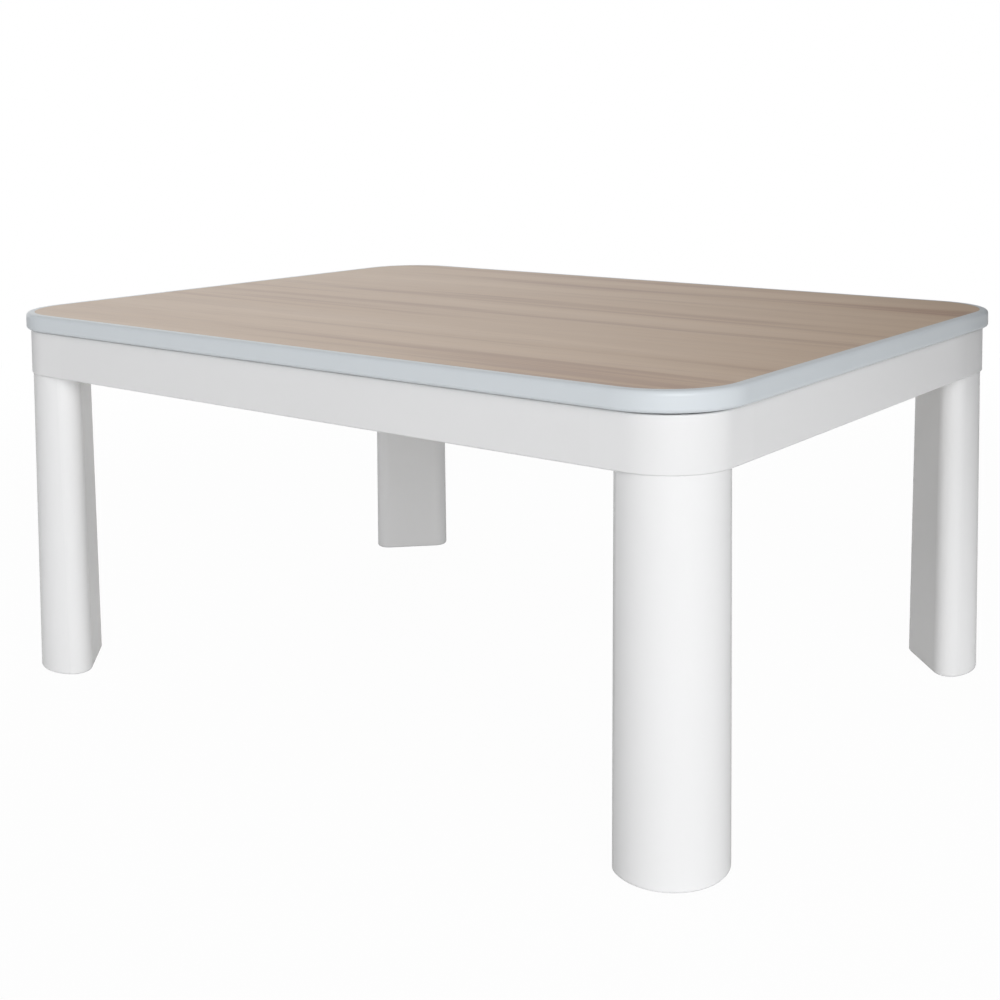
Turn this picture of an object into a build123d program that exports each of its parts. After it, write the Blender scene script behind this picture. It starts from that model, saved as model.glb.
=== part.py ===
from build123d import *
import os
from math import sqrt

# Kotatsu table. +X runs along the long side, -Y is the front, +Z is up.
# The origin is on the floor, under the middle of the table. All sizes are millimetres.

os.makedirs("parts", exist_ok=True)

# ---- Driving dimensions ----------------------------------------------------------------------

# Whole table
table_length = 800.0
table_depth = 600.0
table_height = 357.0

# Tabletop: a board with a printed sheet on each face and a soft edge moulding around it
top_thickness = 16.0
top_corner_radius = 68.0
sheet_thickness = 0.6
edge_width = 8.0
edge_top_rounding = 3.5
edge_foot_rounding = 3.0
edge_fit = 0.1
tongue_depth = 8.0
tongue_thickness = 3.0
tongue_fit = 0.2

# Frame under the tabletop
top_overhang = 7.0
top_gap = 1.4
apron_height = 42.6
frame_corner_radius = 54.0
rail_thickness = 15.0
rail_edge_rounding = 1.5
corner_reach = 84.0

# Moulded corner blocks
block_skin = 3.5
block_flat_reveal = 1.5
deck_thickness = 3.5
block_rib = 2.4
arm_length = 45.0
arm_thickness = 10.0
arm_height = 34.0
arm_end_chamfer = 3.0
pad_radius = 7.0
pad_seat_depth = 1.5
pad_seat_wall = 2.0
pad_fit = 0.2
pad_out = 22.0

# Legs: hollow D-shaped mouldings, round outside and flat towards the middle of the table
leg_radius = 44.5
leg_set_in = 48.0
leg_flat_head = 4.5
leg_flat_foot = 8.5
leg_edge_rounding = 15.0
leg_wall = 3.2
leg_rib = 2.4
foot_rounding = 2.5
spigot_height = 22.6
socket_inset = 2.0
spigot_wall = 3.0
spigot_plate = 4.0
socket_fit = 0.4
head_fit = 0.4

# Feet
pad_drop = 1.0
foot_pad_thickness = 2.0
foot_pad_inset = 10.0
cap_plate = 2.5
cap_height = 12.0
cap_wall = 2.0
cap_fit = 0.15

# Leg bolts, washers and captive nuts
bolt_radius = 2.95
bolt_hole_radius = 3.3
bolt_length = 30.0
bolt_head_flats = 10.0
bolt_head_height = 4.0
bolt_out = 8.0
bolt_spread = 19.0
washer_radius = 6.5
washer_thickness = 1.2
washer_fit = 0.2
nut_height = 5.0
nut_fit = 0.05
nut_pocket_fit = 0.15
nut_pocket_depth = 8.0
nut_boss_radius = 8.5

# Wood screws: one size holds the rails, the brackets and the heater
screw_radius = 1.8
screw_head_radius = 3.8
screw_head_height = 2.2
screw_grip = 11.0
screw_hole_fit = 0.4
pilot_fit = 0.05
pilot_over_depth = 1.0
first_screw = 12.0
screw_pitch = 21.0

# Cross rails that carry the heater
cross_rail_width = 20.0
cross_rail_height = 26.0
cross_rail_drop = 3.2
cross_rail_gap = 2.0
bracket_thickness = 1.6
bracket_leg = 26.0
bracket_height = 20.0
bracket_bend = 2.0

# Heater housing, a drawn steel pan that opens downwards
heater_length = 296.0
heater_depth = 216.0
heater_height = 45.2
housing_sheet = 1.2
housing_corner_radius = 22.0
housing_edge_rounding = 8.0
lip_width = 7.0
ear_width = 26.0
ear_reach = 2.0
ear_spread = 75.0
vent_count = 9
vent_pitch = 26.0
vent_width = 3.0
vent_height = 16.0
vent_top_margin = 14.0
insulation_thickness = 3.0
insulation_margin = 12.0

# Heater bezel, which closes the pan and holds the wire guard
bezel_thickness = 6.0
bezel_overlap = 1.5
bezel_border = 17.0
bezel_opening_radius = 16.0
bezel_rounding = 2.5
rebate_width = 5.0
rebate_depth = 3.0
bezel_screw_radius = 1.6
bezel_screw_head_radius = 2.9
bezel_screw_head_height = 1.6
bezel_screw_length = 9.0
bezel_screw_spread = 100.0

# Wire guard
rim_wire_radius = 1.4
grid_wire_radius = 1.0
weld_gap = 0.05
guard_depth = 8.0
guard_shoulder = 0.5
guard_slope = 8.0
cross_wire_count = 15
cross_wire_margin = 12.0
long_wire_count = 5
long_wire_margin = 31.0

# Quartz tubes, their coils, end caps and brackets
tube_radius = 6.0
tube_wall = 1.2
tube_end_gap = 0.2
tube_spacing = 92.0
tube_rise = 12.0
coil_radius = 3.4
coil_inset = 20.0
terminal_radius = 0.8
terminal_reach = 6.0
cap_neck_radius = 7.5
cap_flange_radius = 9.5
cap_flange_length = 6.0
cap_neck_length = 13.0
tube_seat = 9.5
ceramic_fit = 0.1
tube_bracket_sheet = 1.2
tube_bracket_inset = 28.0
tube_bracket_height = 34.0
tube_bracket_foot = 26.0
tube_bracket_foot_span = 160.0
tube_bracket_chamfer = 8.5

# Reflector, one bent sheet with a trough over each tube
reflector_sheet = 0.8
trough_radius = 20.0
ridge_half_width = 14.0
ridge_drop = 8.0
flank_foot = 92.0
reflector_flange = 10.0
reflector_end_gap = 0.5

# Electrical parts
terminal_block_length = 40.0
terminal_block_width = 20.0
terminal_block_height = 14.0
terminal_block_place = 25.0
terminal_block_rounding = 2.0
terminal_post_radius = 2.4
terminal_post_depth = 6.0
thermostat_radius = 9.0
thermostat_height = 7.0
thermostat_cap_radius = 5.5
thermostat_cap_height = 4.0
thermostat_place = -45.0
fuse_radius = 2.2
fuse_length = 16.0
fuse_clip_length = 6.0
fuse_clip_width = 12.0
fuse_clip_rise = 3.0
fuse_place = -85.0
lead_radius = 1.3
lead_clearance = 3.0
lead_run = 8.0
lead_drop = 6.0

# Power inlet on the back wall of the heater, for a removable cord
inlet_place = 80.0
inlet_length = 38.0
inlet_height = 22.0
inlet_rounding = 6.0
inlet_reach = 22.0
inlet_wall = 3.0
inlet_base = 2.5
inlet_flange_length = 54.0
inlet_boss_depth = 9.0
inlet_window_fit = 0.5
inlet_screw_spread = 23.0
inlet_screw_radius = 1.3
inlet_screw_head_radius = 2.4
inlet_screw_head_height = 1.4
inlet_screw_length = 7.0
pin_radius = 2.4
pin_root_radius = 2.9
pin_pitch = 14.0
pin_exposed = 16.0
pin_tail = 4.0
pin_chamfer = 0.8
pin_fit = 0.05

# ---- Heights and places worked out from the driving dimensions -------------------------------

top_foot = table_height - top_thickness
frame_top = top_foot - top_gap
frame_foot = frame_top - apron_height
frame_length = table_length - 2 * top_overhang
frame_depth = table_depth - 2 * top_overhang
leg_x = frame_length / 2 - leg_set_in
leg_y = frame_depth / 2 - leg_set_in
corner_out = frame_corner_radius + (leg_set_in - frame_corner_radius) * sqrt(2)
leg_foot = pad_drop
spigot_inset = socket_inset + socket_fit
spigot_top = frame_foot + spigot_height
deck_foot = spigot_top + head_fit
deck_top = deck_foot + deck_thickness
mid_apron = (frame_foot + frame_top) / 2

core_length = table_length - 2 * edge_width
core_depth = table_depth - 2 * edge_width
core_radius = top_corner_radius - edge_width

rail_inside_y = frame_depth / 2 - rail_thickness

cross_rail_top = frame_top - cross_rail_drop
cross_rail_x = heater_length / 2 + cross_rail_gap + cross_rail_width / 2
cross_rail_middle = cross_rail_top - cross_rail_height / 2
cross_rail_out = cross_rail_x + cross_rail_width / 2
bracket_screw_x = cross_rail_out + bracket_leg / 2
bracket_screw_y = rail_inside_y - bracket_leg / 2
housing_top = cross_rail_top + housing_sheet
housing_foot = housing_top - heater_height
bezel_foot = housing_foot - bezel_thickness
bezel_opening_length = heater_length - 2 * bezel_border
bezel_opening_depth = heater_depth - 2 * bezel_border
cross_wire_pitch = (bezel_opening_length - 2 * cross_wire_margin) / (cross_wire_count - 1)
long_wire_pitch = (bezel_opening_depth - 2 * long_wire_margin) / (long_wire_count - 1)
tube_z = housing_foot + tube_rise
tube_y = tube_spacing / 2
tube_bracket_place = heater_length / 2 - tube_bracket_inset
coil_length = 2 * (tube_bracket_place - coil_inset)
inlet_z = (housing_foot + cross_rail_top) / 2

diagonal = Axis((0, 0, 0), (1, 1, 0))
corners = [
    ("back_right", 1, 1),
    ("back_left", -1, 1),
    ("front_right", 1, -1),
    ("front_left", -1, -1),
]


# ---- Shared construction ---------------------------------------------------------------------


def write(builder, node_name):
    """Label a finished piece and write it as its own STEP file."""
    builder.part.label = node_name
    export_step(builder.part, f"parts/{node_name}.step")


def in_corner(piece, side, end):
    """A piece made for the back right corner, mirrored to the corner that the two signs name."""
    with BuildPart() as placed:
        add(piece.part)
        if side < 0:
            mirror(about=Plane.YZ, mode=Mode.REPLACE)
        if end < 0:
            mirror(about=Plane.XZ, mode=Mode.REPLACE)
    return placed


def in_all_corners(piece):
    """Four copies of a back right corner piece, one in each corner, as a group of solids."""
    with BuildPart() as group:
        for _, side, end in corners:
            add(in_corner(piece, side, end).part)
    return group


def leg_plane(height):
    """Plane on a leg's axis whose X points out through the corner."""
    return Plane(origin=(leg_x, leg_y, height), x_dir=(1, 1, 0), z_dir=(0, 0, 1))


def flat_plane(inset):
    """The leg's inner flat, which leans out towards the foot, set in by a wall thickness."""
    lean = leg_flat_foot - leg_flat_head
    out = -(leg_flat_head - inset)
    on_flat = leg_plane(frame_foot).from_local_coords((out, 0, 0))
    return Plane(
        origin=on_flat,
        z_dir=(frame_foot / sqrt(2), frame_foot / sqrt(2), -lean),
    )


def d_column(foot, head, inset):
    """Upright D-shaped column between two heights, its skin set in from the leg's outside."""
    with BuildPart() as column:
        with BuildSketch(leg_plane(foot)):
            Circle(leg_radius - inset)
        extrude(amount=head - foot)
        split(bisect_by=flat_plane(inset), keep=Keep.TOP)
        upright = column.edges().group_by(Axis.Z)[1]
        fillet(upright.sort_by(diagonal)[:2], leg_edge_rounding - inset)
    return column


# ---- Tabletop --------------------------------------------------------------------------------

groove = tongue_thickness + 2 * tongue_fit
top_middle = top_foot + top_thickness / 2

# Board with a groove around its edge
with BuildPart() as tabletop_core:
    with BuildSketch(Plane.XY.offset(top_foot + sheet_thickness)):
        RectangleRounded(core_length, core_depth, core_radius)
    extrude(amount=top_thickness - 2 * sheet_thickness)
    with BuildSketch(Plane.XY.offset(top_middle - groove / 2)):
        RectangleRounded(core_length, core_depth, core_radius)
        groove_inset = tongue_depth + tongue_fit
        RectangleRounded(
            core_length - 2 * groove_inset,
            core_depth - 2 * groove_inset,
            core_radius - groove_inset,
            mode=Mode.SUBTRACT,
        )
    extrude(amount=groove, mode=Mode.SUBTRACT)
write(tabletop_core, "tabletop_core")

# Printed sheets on the two faces
for sheet_name, sheet_foot in (
    ("tabletop_woodgrain_face", table_height - sheet_thickness),
    ("tabletop_reverse_face", top_foot),
):
    with BuildPart() as face_sheet:
        with BuildSketch(Plane.XY.offset(sheet_foot)):
            RectangleRounded(core_length, core_depth, core_radius)
        extrude(amount=sheet_thickness)
    write(face_sheet, sheet_name)

# Soft edge moulding with a tongue that sits in the board's groove
with BuildPart() as tabletop_edge_moulding:
    with BuildSketch(Plane.XY.offset(top_foot)):
        RectangleRounded(table_length, table_depth, top_corner_radius)
    extrude(amount=top_thickness)
    fillet(tabletop_edge_moulding.edges().group_by(Axis.Z)[-1], edge_top_rounding)
    fillet(tabletop_edge_moulding.edges().group_by(Axis.Z)[0], edge_foot_rounding)
    with BuildSketch(Plane.XY.offset(top_foot)):
        RectangleRounded(
            core_length + 2 * edge_fit, core_depth + 2 * edge_fit, core_radius + edge_fit
        )
    extrude(amount=top_thickness, mode=Mode.SUBTRACT)
    with BuildSketch(Plane.XY.offset(top_middle - tongue_thickness / 2)):
        RectangleRounded(
            core_length + 2 * edge_fit, core_depth + 2 * edge_fit, core_radius + edge_fit
        )
        RectangleRounded(
            core_length - 2 * tongue_depth,
            core_depth - 2 * tongue_depth,
            core_radius - tongue_depth,
            mode=Mode.SUBTRACT,
        )
    extrude(amount=tongue_thickness)
write(tabletop_edge_moulding, "tabletop_edge_moulding")

# ---- Rails -----------------------------------------------------------------------------------


def apron_rail(length, half_span):
    """Rail along X at the back, its two outside edges rounded, with pilot holes for the screws."""
    with BuildPart() as rail:
        with BuildSketch(Plane.XY.offset(frame_foot)):
            with Locations((0, half_span - rail_thickness / 2)):
                Rectangle(length, rail_thickness)
        extrude(amount=apron_height)
        outside = rail.edges().filter_by(Axis.X).group_by(Axis.Y)[-1]
        fillet(outside, rail_edge_rounding)
        inside = Plane(
            origin=(0, half_span - rail_thickness, mid_apron), x_dir=(1, 0, 0), z_dir=(0, -1, 0)
        )
        places = [
            (end * (length / 2 - first_screw - step * screw_pitch), 0)
            for end in (-1, 1)
            for step in (0, 1)
        ]
        with Locations(inside):
            with Locations(*places):
                Hole(screw_radius + pilot_fit, depth=screw_grip + pilot_over_depth)
    return rail


long_rail = apron_rail(frame_length - 2 * corner_reach, frame_depth / 2)
with BuildPart() as drilled_long_rail:
    add(long_rail.part)
    for bracket_side in (-1, 1):
        screw_place = (bracket_side * bracket_screw_x, rail_inside_y, cross_rail_middle)
        with Locations(Plane(origin=screw_place, z_dir=(0, -1, 0))):
            Hole(screw_radius + pilot_fit, depth=screw_grip + pilot_over_depth)

write(drilled_long_rail, "long_rail_back")
write(in_corner(drilled_long_rail, 1, -1), "long_rail_front")

short_rail = apron_rail(frame_depth - 2 * corner_reach, frame_length / 2)
with BuildPart() as short_rail_right:
    add(short_rail.part, rotation=(0, 0, -90))
write(short_rail_right, "short_rail_right")
write(in_corner(short_rail_right, -1, 1), "short_rail_left")

# ---- Corner blocks ---------------------------------------------------------------------------

# The plan is a square with a round outer corner, cut off inside along the leg's flat.
block_flat = leg_flat_head + block_flat_reveal
cut_sum = 2 * leg_set_in + block_flat * sqrt(2)
block_inside = rail_thickness + arm_thickness


def from_corner(along_x, along_y):
    """Point at two distances in from the frame's outer corner."""
    return (frame_length / 2 - along_x, frame_depth / 2 - along_y)


def block_plan(height):
    """Plan of the corner block at a height, without its arms."""
    with BuildSketch(Plane.XY.offset(height)) as plan:
        with BuildLine():
            Polyline(
                from_corner(0, 0),
                from_corner(corner_reach, 0),
                from_corner(corner_reach, block_inside),
                from_corner(cut_sum - block_inside, block_inside),
                from_corner(block_inside, cut_sum - block_inside),
                from_corner(block_inside, corner_reach),
                from_corner(0, corner_reach),
                close=True,
            )
        make_face()
        fillet(plan.vertices().sort_by(diagonal)[-1], frame_corner_radius)
    return plan


with BuildPart() as corner_block:
    add(block_plan(frame_foot).sketch)
    extrude(amount=apron_height)
    for level in (0, -1):
        rim = corner_block.edges().group_by(Axis.Z)[level]
        fillet(rim.sort_by(diagonal)[-3:], rail_edge_rounding)
    # arms that lie behind the two rails
    arm_centre = corner_reach + arm_length / 2
    behind_rail = rail_thickness + arm_thickness / 2
    with BuildSketch(Plane.XY.offset(mid_apron - arm_height / 2)) as arm_plan:
        with Locations(from_corner(arm_centre, behind_rail)):
            Rectangle(arm_length, arm_thickness)
        with Locations(from_corner(behind_rail, arm_centre)):
            Rectangle(arm_thickness, arm_length)
        inner_corners = arm_plan.vertices().sort_by(diagonal)[:2]
        chamfer(inner_corners, arm_end_chamfer)
    extrude(amount=arm_height)
    # socket for the leg's spigot, open below
    add(d_column(frame_foot, deck_foot, spigot_inset - socket_fit).part, mode=Mode.SUBTRACT)
    # pocket above the deck, open above
    with BuildSketch(Plane.XY.offset(deck_top)):
        add(block_plan(0).sketch)
        offset(amount=-block_skin, kind=Kind.INTERSECTION, mode=Mode.REPLACE)
    extrude(amount=frame_top - deck_top, mode=Mode.SUBTRACT)
    # ribs and the seat of the tabletop pad stand in the pocket
    with BuildSketch(leg_plane(deck_top)):
        rib_end = corner_out - block_skin / 2
        with Locations(((rib_end - block_flat) / 2, 0)):
            Rectangle(rib_end + block_flat, block_rib)
    extrude(amount=frame_top - pad_seat_depth - deck_top)
    with BuildSketch(leg_plane(deck_top)):
        with Locations((pad_out, 0)):
            Circle(pad_radius + pad_fit + pad_seat_wall)
    extrude(amount=frame_top - deck_top)
    with Locations(leg_plane(frame_top)):
        with Locations((pad_out, 0)):
            Hole(pad_radius + pad_fit, depth=pad_seat_depth)
    # two bolt holes through the deck
    with Locations(leg_plane(deck_top)):
        with Locations((bolt_out, -bolt_spread), (bolt_out, bolt_spread)):
            Hole(bolt_hole_radius, depth=deck_thickness)
    # clearance holes for the rail screws through the arms
    for step in (0, 1):
        along = corner_reach + first_screw + step * screw_pitch
        to_long_rail = from_corner(along, block_inside)
        to_short_rail = from_corner(block_inside, along)
        with Locations(
            Plane(origin=(*to_long_rail, mid_apron), z_dir=(0, -1, 0)),
            Plane(origin=(*to_short_rail, mid_apron), z_dir=(-1, 0, 0)),
        ):
            Hole(screw_radius + screw_hole_fit, depth=arm_thickness)
for corner_name, side, end in corners:
    write(in_corner(corner_block, side, end), f"corner_block_{corner_name}")

# Rubber pads that carry the tabletop
with BuildPart() as pad:
    with BuildSketch(leg_plane(frame_top - pad_seat_depth)):
        with Locations((pad_out, 0)):
            Circle(pad_radius)
    extrude(amount=pad_seat_depth + top_gap)
write(in_all_corners(pad), "tabletop_pads")


def pan_screw(length, radius, head_radius, head_height):
    """Screw whose head seats on XY at the origin and whose shank runs down."""
    with BuildPart() as screw:
        Cylinder(head_radius, head_height, align=(Align.CENTER, Align.CENTER, Align.MIN))
        chamfer(screw.edges().sort_by(Axis.Z)[-1], head_height / 2)
        Cylinder(radius, length, align=(Align.CENTER, Align.CENTER, Align.MAX))
    return screw


def screws_on(screw, planes):
    """One copy of a screw seated on each plane, as a group of solids."""
    with BuildPart() as group:
        with Locations(*planes):
            add(screw.part)
    return group


wood_screw = pan_screw(
    arm_thickness + screw_grip, screw_radius, screw_head_radius, screw_head_height
)
arm_planes = []
for step in (0, 1):
    along = corner_reach + first_screw + step * screw_pitch
    to_long_rail = from_corner(along, block_inside)
    to_short_rail = from_corner(block_inside, along)
    arm_planes.append(Plane(origin=(*to_long_rail, mid_apron), z_dir=(0, -1, 0)))
    arm_planes.append(Plane(origin=(*to_short_rail, mid_apron), z_dir=(-1, 0, 0)))
write(in_all_corners(screws_on(wood_screw, arm_planes)), "corner_block_screws")

# ---- Legs ------------------------------------------------------------------------------------

with BuildPart() as leg_hollow:
    add(d_column(leg_foot, frame_foot - spigot_plate, leg_wall).part)
    add(d_column(leg_foot, spigot_top - spigot_plate, spigot_inset + spigot_wall).part)
    # a middle rib and two nut bosses stay solid
    rib_foot = leg_foot + cap_plate + cap_height + foot_pad_thickness
    with BuildSketch(leg_plane(rib_foot)):
        Rectangle(2 * leg_radius, leg_rib)
    extrude(amount=spigot_top - rib_foot, mode=Mode.SUBTRACT)
    boss_height = nut_height + nut_pocket_depth
    with BuildSketch(leg_plane(spigot_top - spigot_plate - boss_height)):
        with Locations((bolt_out, -bolt_spread), (bolt_out, bolt_spread)):
            Circle(nut_boss_radius)
            RegularPolygon(
                bolt_head_flats / 2 + nut_pocket_fit, 6, major_radius=False, mode=Mode.SUBTRACT
            )
    extrude(amount=boss_height, mode=Mode.SUBTRACT)

with BuildPart() as leg:
    add(d_column(leg_foot, frame_foot, 0).part)
    foot_edges = leg.edges().group_by(Axis.Z)[0]
    fillet(foot_edges, foot_rounding)
    add(d_column(frame_foot, spigot_top, spigot_inset).part)
    add(leg_hollow.part, mode=Mode.SUBTRACT)
    with Locations(leg_plane(spigot_top)):
        with Locations((bolt_out, -bolt_spread), (bolt_out, bolt_spread)):
            Hole(bolt_hole_radius, depth=spigot_plate)
for corner_name, side, end in corners:
    write(in_corner(leg, side, end), f"leg_{corner_name}")

# Foot caps plug the legs, and felt pads under them touch the floor
with BuildPart() as foot_cap:
    add(d_column(foot_pad_thickness, foot_pad_thickness + cap_height, leg_wall + cap_fit).part)
    add(
        d_column(
            foot_pad_thickness + cap_plate,
            foot_pad_thickness + cap_height,
            leg_wall + cap_fit + cap_wall,
        ).part,
        mode=Mode.SUBTRACT,
    )
write(in_all_corners(foot_cap), "foot_caps")

foot_pad = d_column(0, foot_pad_thickness, foot_pad_inset)
write(in_all_corners(foot_pad), "foot_pads")

# ---- Leg bolts -------------------------------------------------------------------------------

with BuildPart() as leg_bolt_pair:
    with BuildSketch(leg_plane(deck_top + washer_thickness)):
        with Locations((bolt_out, -bolt_spread), (bolt_out, bolt_spread)):
            RegularPolygon(bolt_head_flats / 2, 6, major_radius=False)
    extrude(amount=bolt_head_height)
    with BuildSketch(leg_plane(deck_top + washer_thickness - bolt_length)):
        with Locations((bolt_out, -bolt_spread), (bolt_out, bolt_spread)):
            Circle(bolt_radius)
    extrude(amount=bolt_length)
write(in_all_corners(leg_bolt_pair), "leg_bolts")

with BuildPart() as leg_washer_pair:
    with BuildSketch(leg_plane(deck_top)):
        with Locations((bolt_out, -bolt_spread), (bolt_out, bolt_spread)):
            Circle(washer_radius)
            Circle(bolt_radius + washer_fit, mode=Mode.SUBTRACT)
    extrude(amount=washer_thickness)
write(in_all_corners(leg_washer_pair), "leg_washers")

with BuildPart() as leg_nut_pair:
    with BuildSketch(leg_plane(spigot_top - spigot_plate - nut_height)):
        with Locations((bolt_out, -bolt_spread), (bolt_out, bolt_spread)):
            RegularPolygon(bolt_head_flats / 2, 6, major_radius=False)
            Circle(bolt_radius + nut_fit, mode=Mode.SUBTRACT)
    extrude(amount=nut_height)
write(in_all_corners(leg_nut_pair), "leg_nuts")

# ---- Cross rails and their brackets ----------------------------------------------------------

bracket_screw_grip = screw_grip + bracket_thickness

with BuildPart() as cross_rail:
    with BuildSketch(Plane.XY.offset(cross_rail_top - cross_rail_height)):
        with Locations((cross_rail_x, 0)):
            Rectangle(cross_rail_width, 2 * rail_inside_y)
    extrude(amount=cross_rail_height)
    with Locations(
        Plane(origin=(cross_rail_out, bracket_screw_y, cross_rail_middle), z_dir=(1, 0, 0)),
        Plane(origin=(cross_rail_out, -bracket_screw_y, cross_rail_middle), z_dir=(1, 0, 0)),
    ):
        Hole(screw_radius + pilot_fit, depth=screw_grip + pilot_over_depth)
    with Locations(
        Plane(origin=(cross_rail_x, ear_spread, cross_rail_top)),
        Plane(origin=(cross_rail_x, -ear_spread, cross_rail_top)),
    ):
        Hole(screw_radius + pilot_fit, depth=screw_grip + pilot_over_depth)
write(cross_rail, "cross_rail_right")
write(in_corner(cross_rail, -1, 1), "cross_rail_left")

with BuildPart() as bracket:
    with BuildSketch(Plane.XY.offset(cross_rail_middle - bracket_height / 2)) as angle:
        with BuildLine():
            Polyline(
                (cross_rail_out, rail_inside_y),
                (cross_rail_out + bracket_leg, rail_inside_y),
                (cross_rail_out + bracket_leg, rail_inside_y - bracket_thickness),
                (cross_rail_out + bracket_thickness, rail_inside_y - bracket_thickness),
                (cross_rail_out + bracket_thickness, rail_inside_y - bracket_leg),
                (cross_rail_out, rail_inside_y - bracket_leg),
                close=True,
            )
        make_face()
        inner_bend = angle.vertices().sort_by_distance(
            (cross_rail_out + bracket_thickness, rail_inside_y - bracket_thickness, 0)
        )[0]
        fillet(inner_bend, bracket_bend)
    extrude(amount=bracket_height)
    with Locations(
        Plane(
            origin=(cross_rail_out + bracket_thickness, bracket_screw_y, cross_rail_middle),
            z_dir=(1, 0, 0),
        ),
        Plane(
            origin=(bracket_screw_x, rail_inside_y - bracket_thickness, cross_rail_middle),
            z_dir=(0, -1, 0),
        ),
    ):
        Hole(screw_radius + screw_hole_fit, depth=bracket_thickness)
write(in_all_corners(bracket), "cross_rail_brackets")

bracket_screw = pan_screw(bracket_screw_grip, screw_radius, screw_head_radius, screw_head_height)
bracket_planes = [
    Plane(
        origin=(cross_rail_out + bracket_thickness, bracket_screw_y, cross_rail_middle),
        z_dir=(1, 0, 0),
    ),
    Plane(
        origin=(bracket_screw_x, rail_inside_y - bracket_thickness, cross_rail_middle),
        z_dir=(0, -1, 0),
    ),
]
write(in_all_corners(screws_on(bracket_screw, bracket_planes)), "bracket_screws")

# ---- Heater housing --------------------------------------------------------------------------

vent_z = cross_rail_top - vent_top_margin - vent_height / 2

with BuildPart() as heater_housing:
    with BuildSketch(Plane.XY.offset(housing_foot)):
        RectangleRounded(heater_length, heater_depth, housing_corner_radius)
    extrude(amount=heater_height)
    fillet(heater_housing.faces().sort_by(Axis.Z)[-1].edges(), housing_edge_rounding)
    offset(amount=-housing_sheet, openings=heater_housing.faces().sort_by(Axis.Z)[0])
    # lip around the mouth, for the bezel
    with BuildSketch(Plane.XY.offset(housing_foot)):
        RectangleRounded(
            heater_length + 2 * lip_width,
            heater_depth + 2 * lip_width,
            housing_corner_radius + lip_width,
        )
        RectangleRounded(
            heater_length - housing_sheet,
            heater_depth - housing_sheet,
            housing_corner_radius - housing_sheet / 2,
            mode=Mode.SUBTRACT,
        )
    extrude(amount=housing_sheet)
    # four ears that lie on the cross rails
    ear_foot = heater_length / 2 - housing_edge_rounding - ear_width / 2
    ear_tip = cross_rail_out - ear_reach
    with BuildSketch(Plane.XY.offset(cross_rail_top)) as ears:
        for side in (-1, 1):
            for end in (-1, 1):
                with Locations((side * (ear_foot + ear_tip) / 2, end * ear_spread)):
                    RectangleRounded(ear_tip - ear_foot, ear_width, ear_width / 4)
    extrude(amount=housing_sheet)
    for side in (-1, 1):
        for end in (-1, 1):
            ear_place = (side * cross_rail_x, end * ear_spread, housing_top)
            with Locations(Plane(origin=ear_place)):
                Hole(screw_radius + screw_hole_fit, depth=housing_sheet)
    # vents in both long walls, and the window behind the power inlet
    row_half = (vent_count - 1) * vent_pitch / 2
    for out, slots in ((-1, vent_count), (1, vent_count // 2 + 1)):
        for number in range(slots):
            slot_place = (number * vent_pitch - row_half, out * heater_depth / 2, vent_z)
            with BuildSketch(Plane(origin=slot_place, x_dir=(0, 0, 1), z_dir=(0, out, 0))):
                SlotOverall(vent_height, vent_width)
            extrude(amount=-2 * housing_sheet, mode=Mode.SUBTRACT)
    with BuildSketch(
        Plane(origin=(inlet_place, heater_depth / 2, inlet_z), x_dir=(-1, 0, 0), z_dir=(0, 1, 0))
    ):
        window_trim = 2 * inlet_wall - 2 * inlet_window_fit
        RectangleRounded(
            inlet_length - window_trim, inlet_height - window_trim, inlet_rounding - inlet_wall
        )
        with Locations((-inlet_screw_spread, 0), (inlet_screw_spread, 0)):
            Circle(inlet_screw_radius + pilot_fit)
    extrude(amount=-2 * housing_sheet, mode=Mode.SUBTRACT)
    # screw holes in the lip
    lip_screw_y = (heater_depth + lip_width) / 2
    for side in (-1, 1):
        for end in (-1, 1):
            lip_place = (side * bezel_screw_spread, end * lip_screw_y, housing_foot + housing_sheet)
            with Locations(Plane(origin=lip_place)):
                Hole(bezel_screw_radius + pilot_fit, depth=housing_sheet)
write(heater_housing, "heater_housing")

ear_planes = [
    Plane(origin=(side * cross_rail_x, end * ear_spread, housing_top))
    for side in (-1, 1)
    for end in (-1, 1)
]
ear_screw = pan_screw(
    screw_grip + housing_sheet, screw_radius, screw_head_radius, screw_head_height
)
write(screws_on(ear_screw, ear_planes), "heater_mounting_screws")

with BuildPart() as heater_insulation:
    with BuildSketch(Plane.XY.offset(cross_rail_top - insulation_thickness)):
        RectangleRounded(
            heater_length - 2 * insulation_margin,
            heater_depth - 2 * insulation_margin,
            housing_corner_radius - insulation_margin,
        )
    extrude(amount=insulation_thickness)
write(heater_insulation, "heater_insulation")

# ---- Bezel and wire guard --------------------------------------------------------------------

bezel_length = heater_length + 2 * (lip_width + bezel_overlap)
bezel_depth = heater_depth + 2 * (lip_width + bezel_overlap)
bezel_radius = housing_corner_radius + lip_width + bezel_overlap
rebate_length = bezel_opening_length + 2 * rebate_width
rebate_span = bezel_opening_depth + 2 * rebate_width

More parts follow.
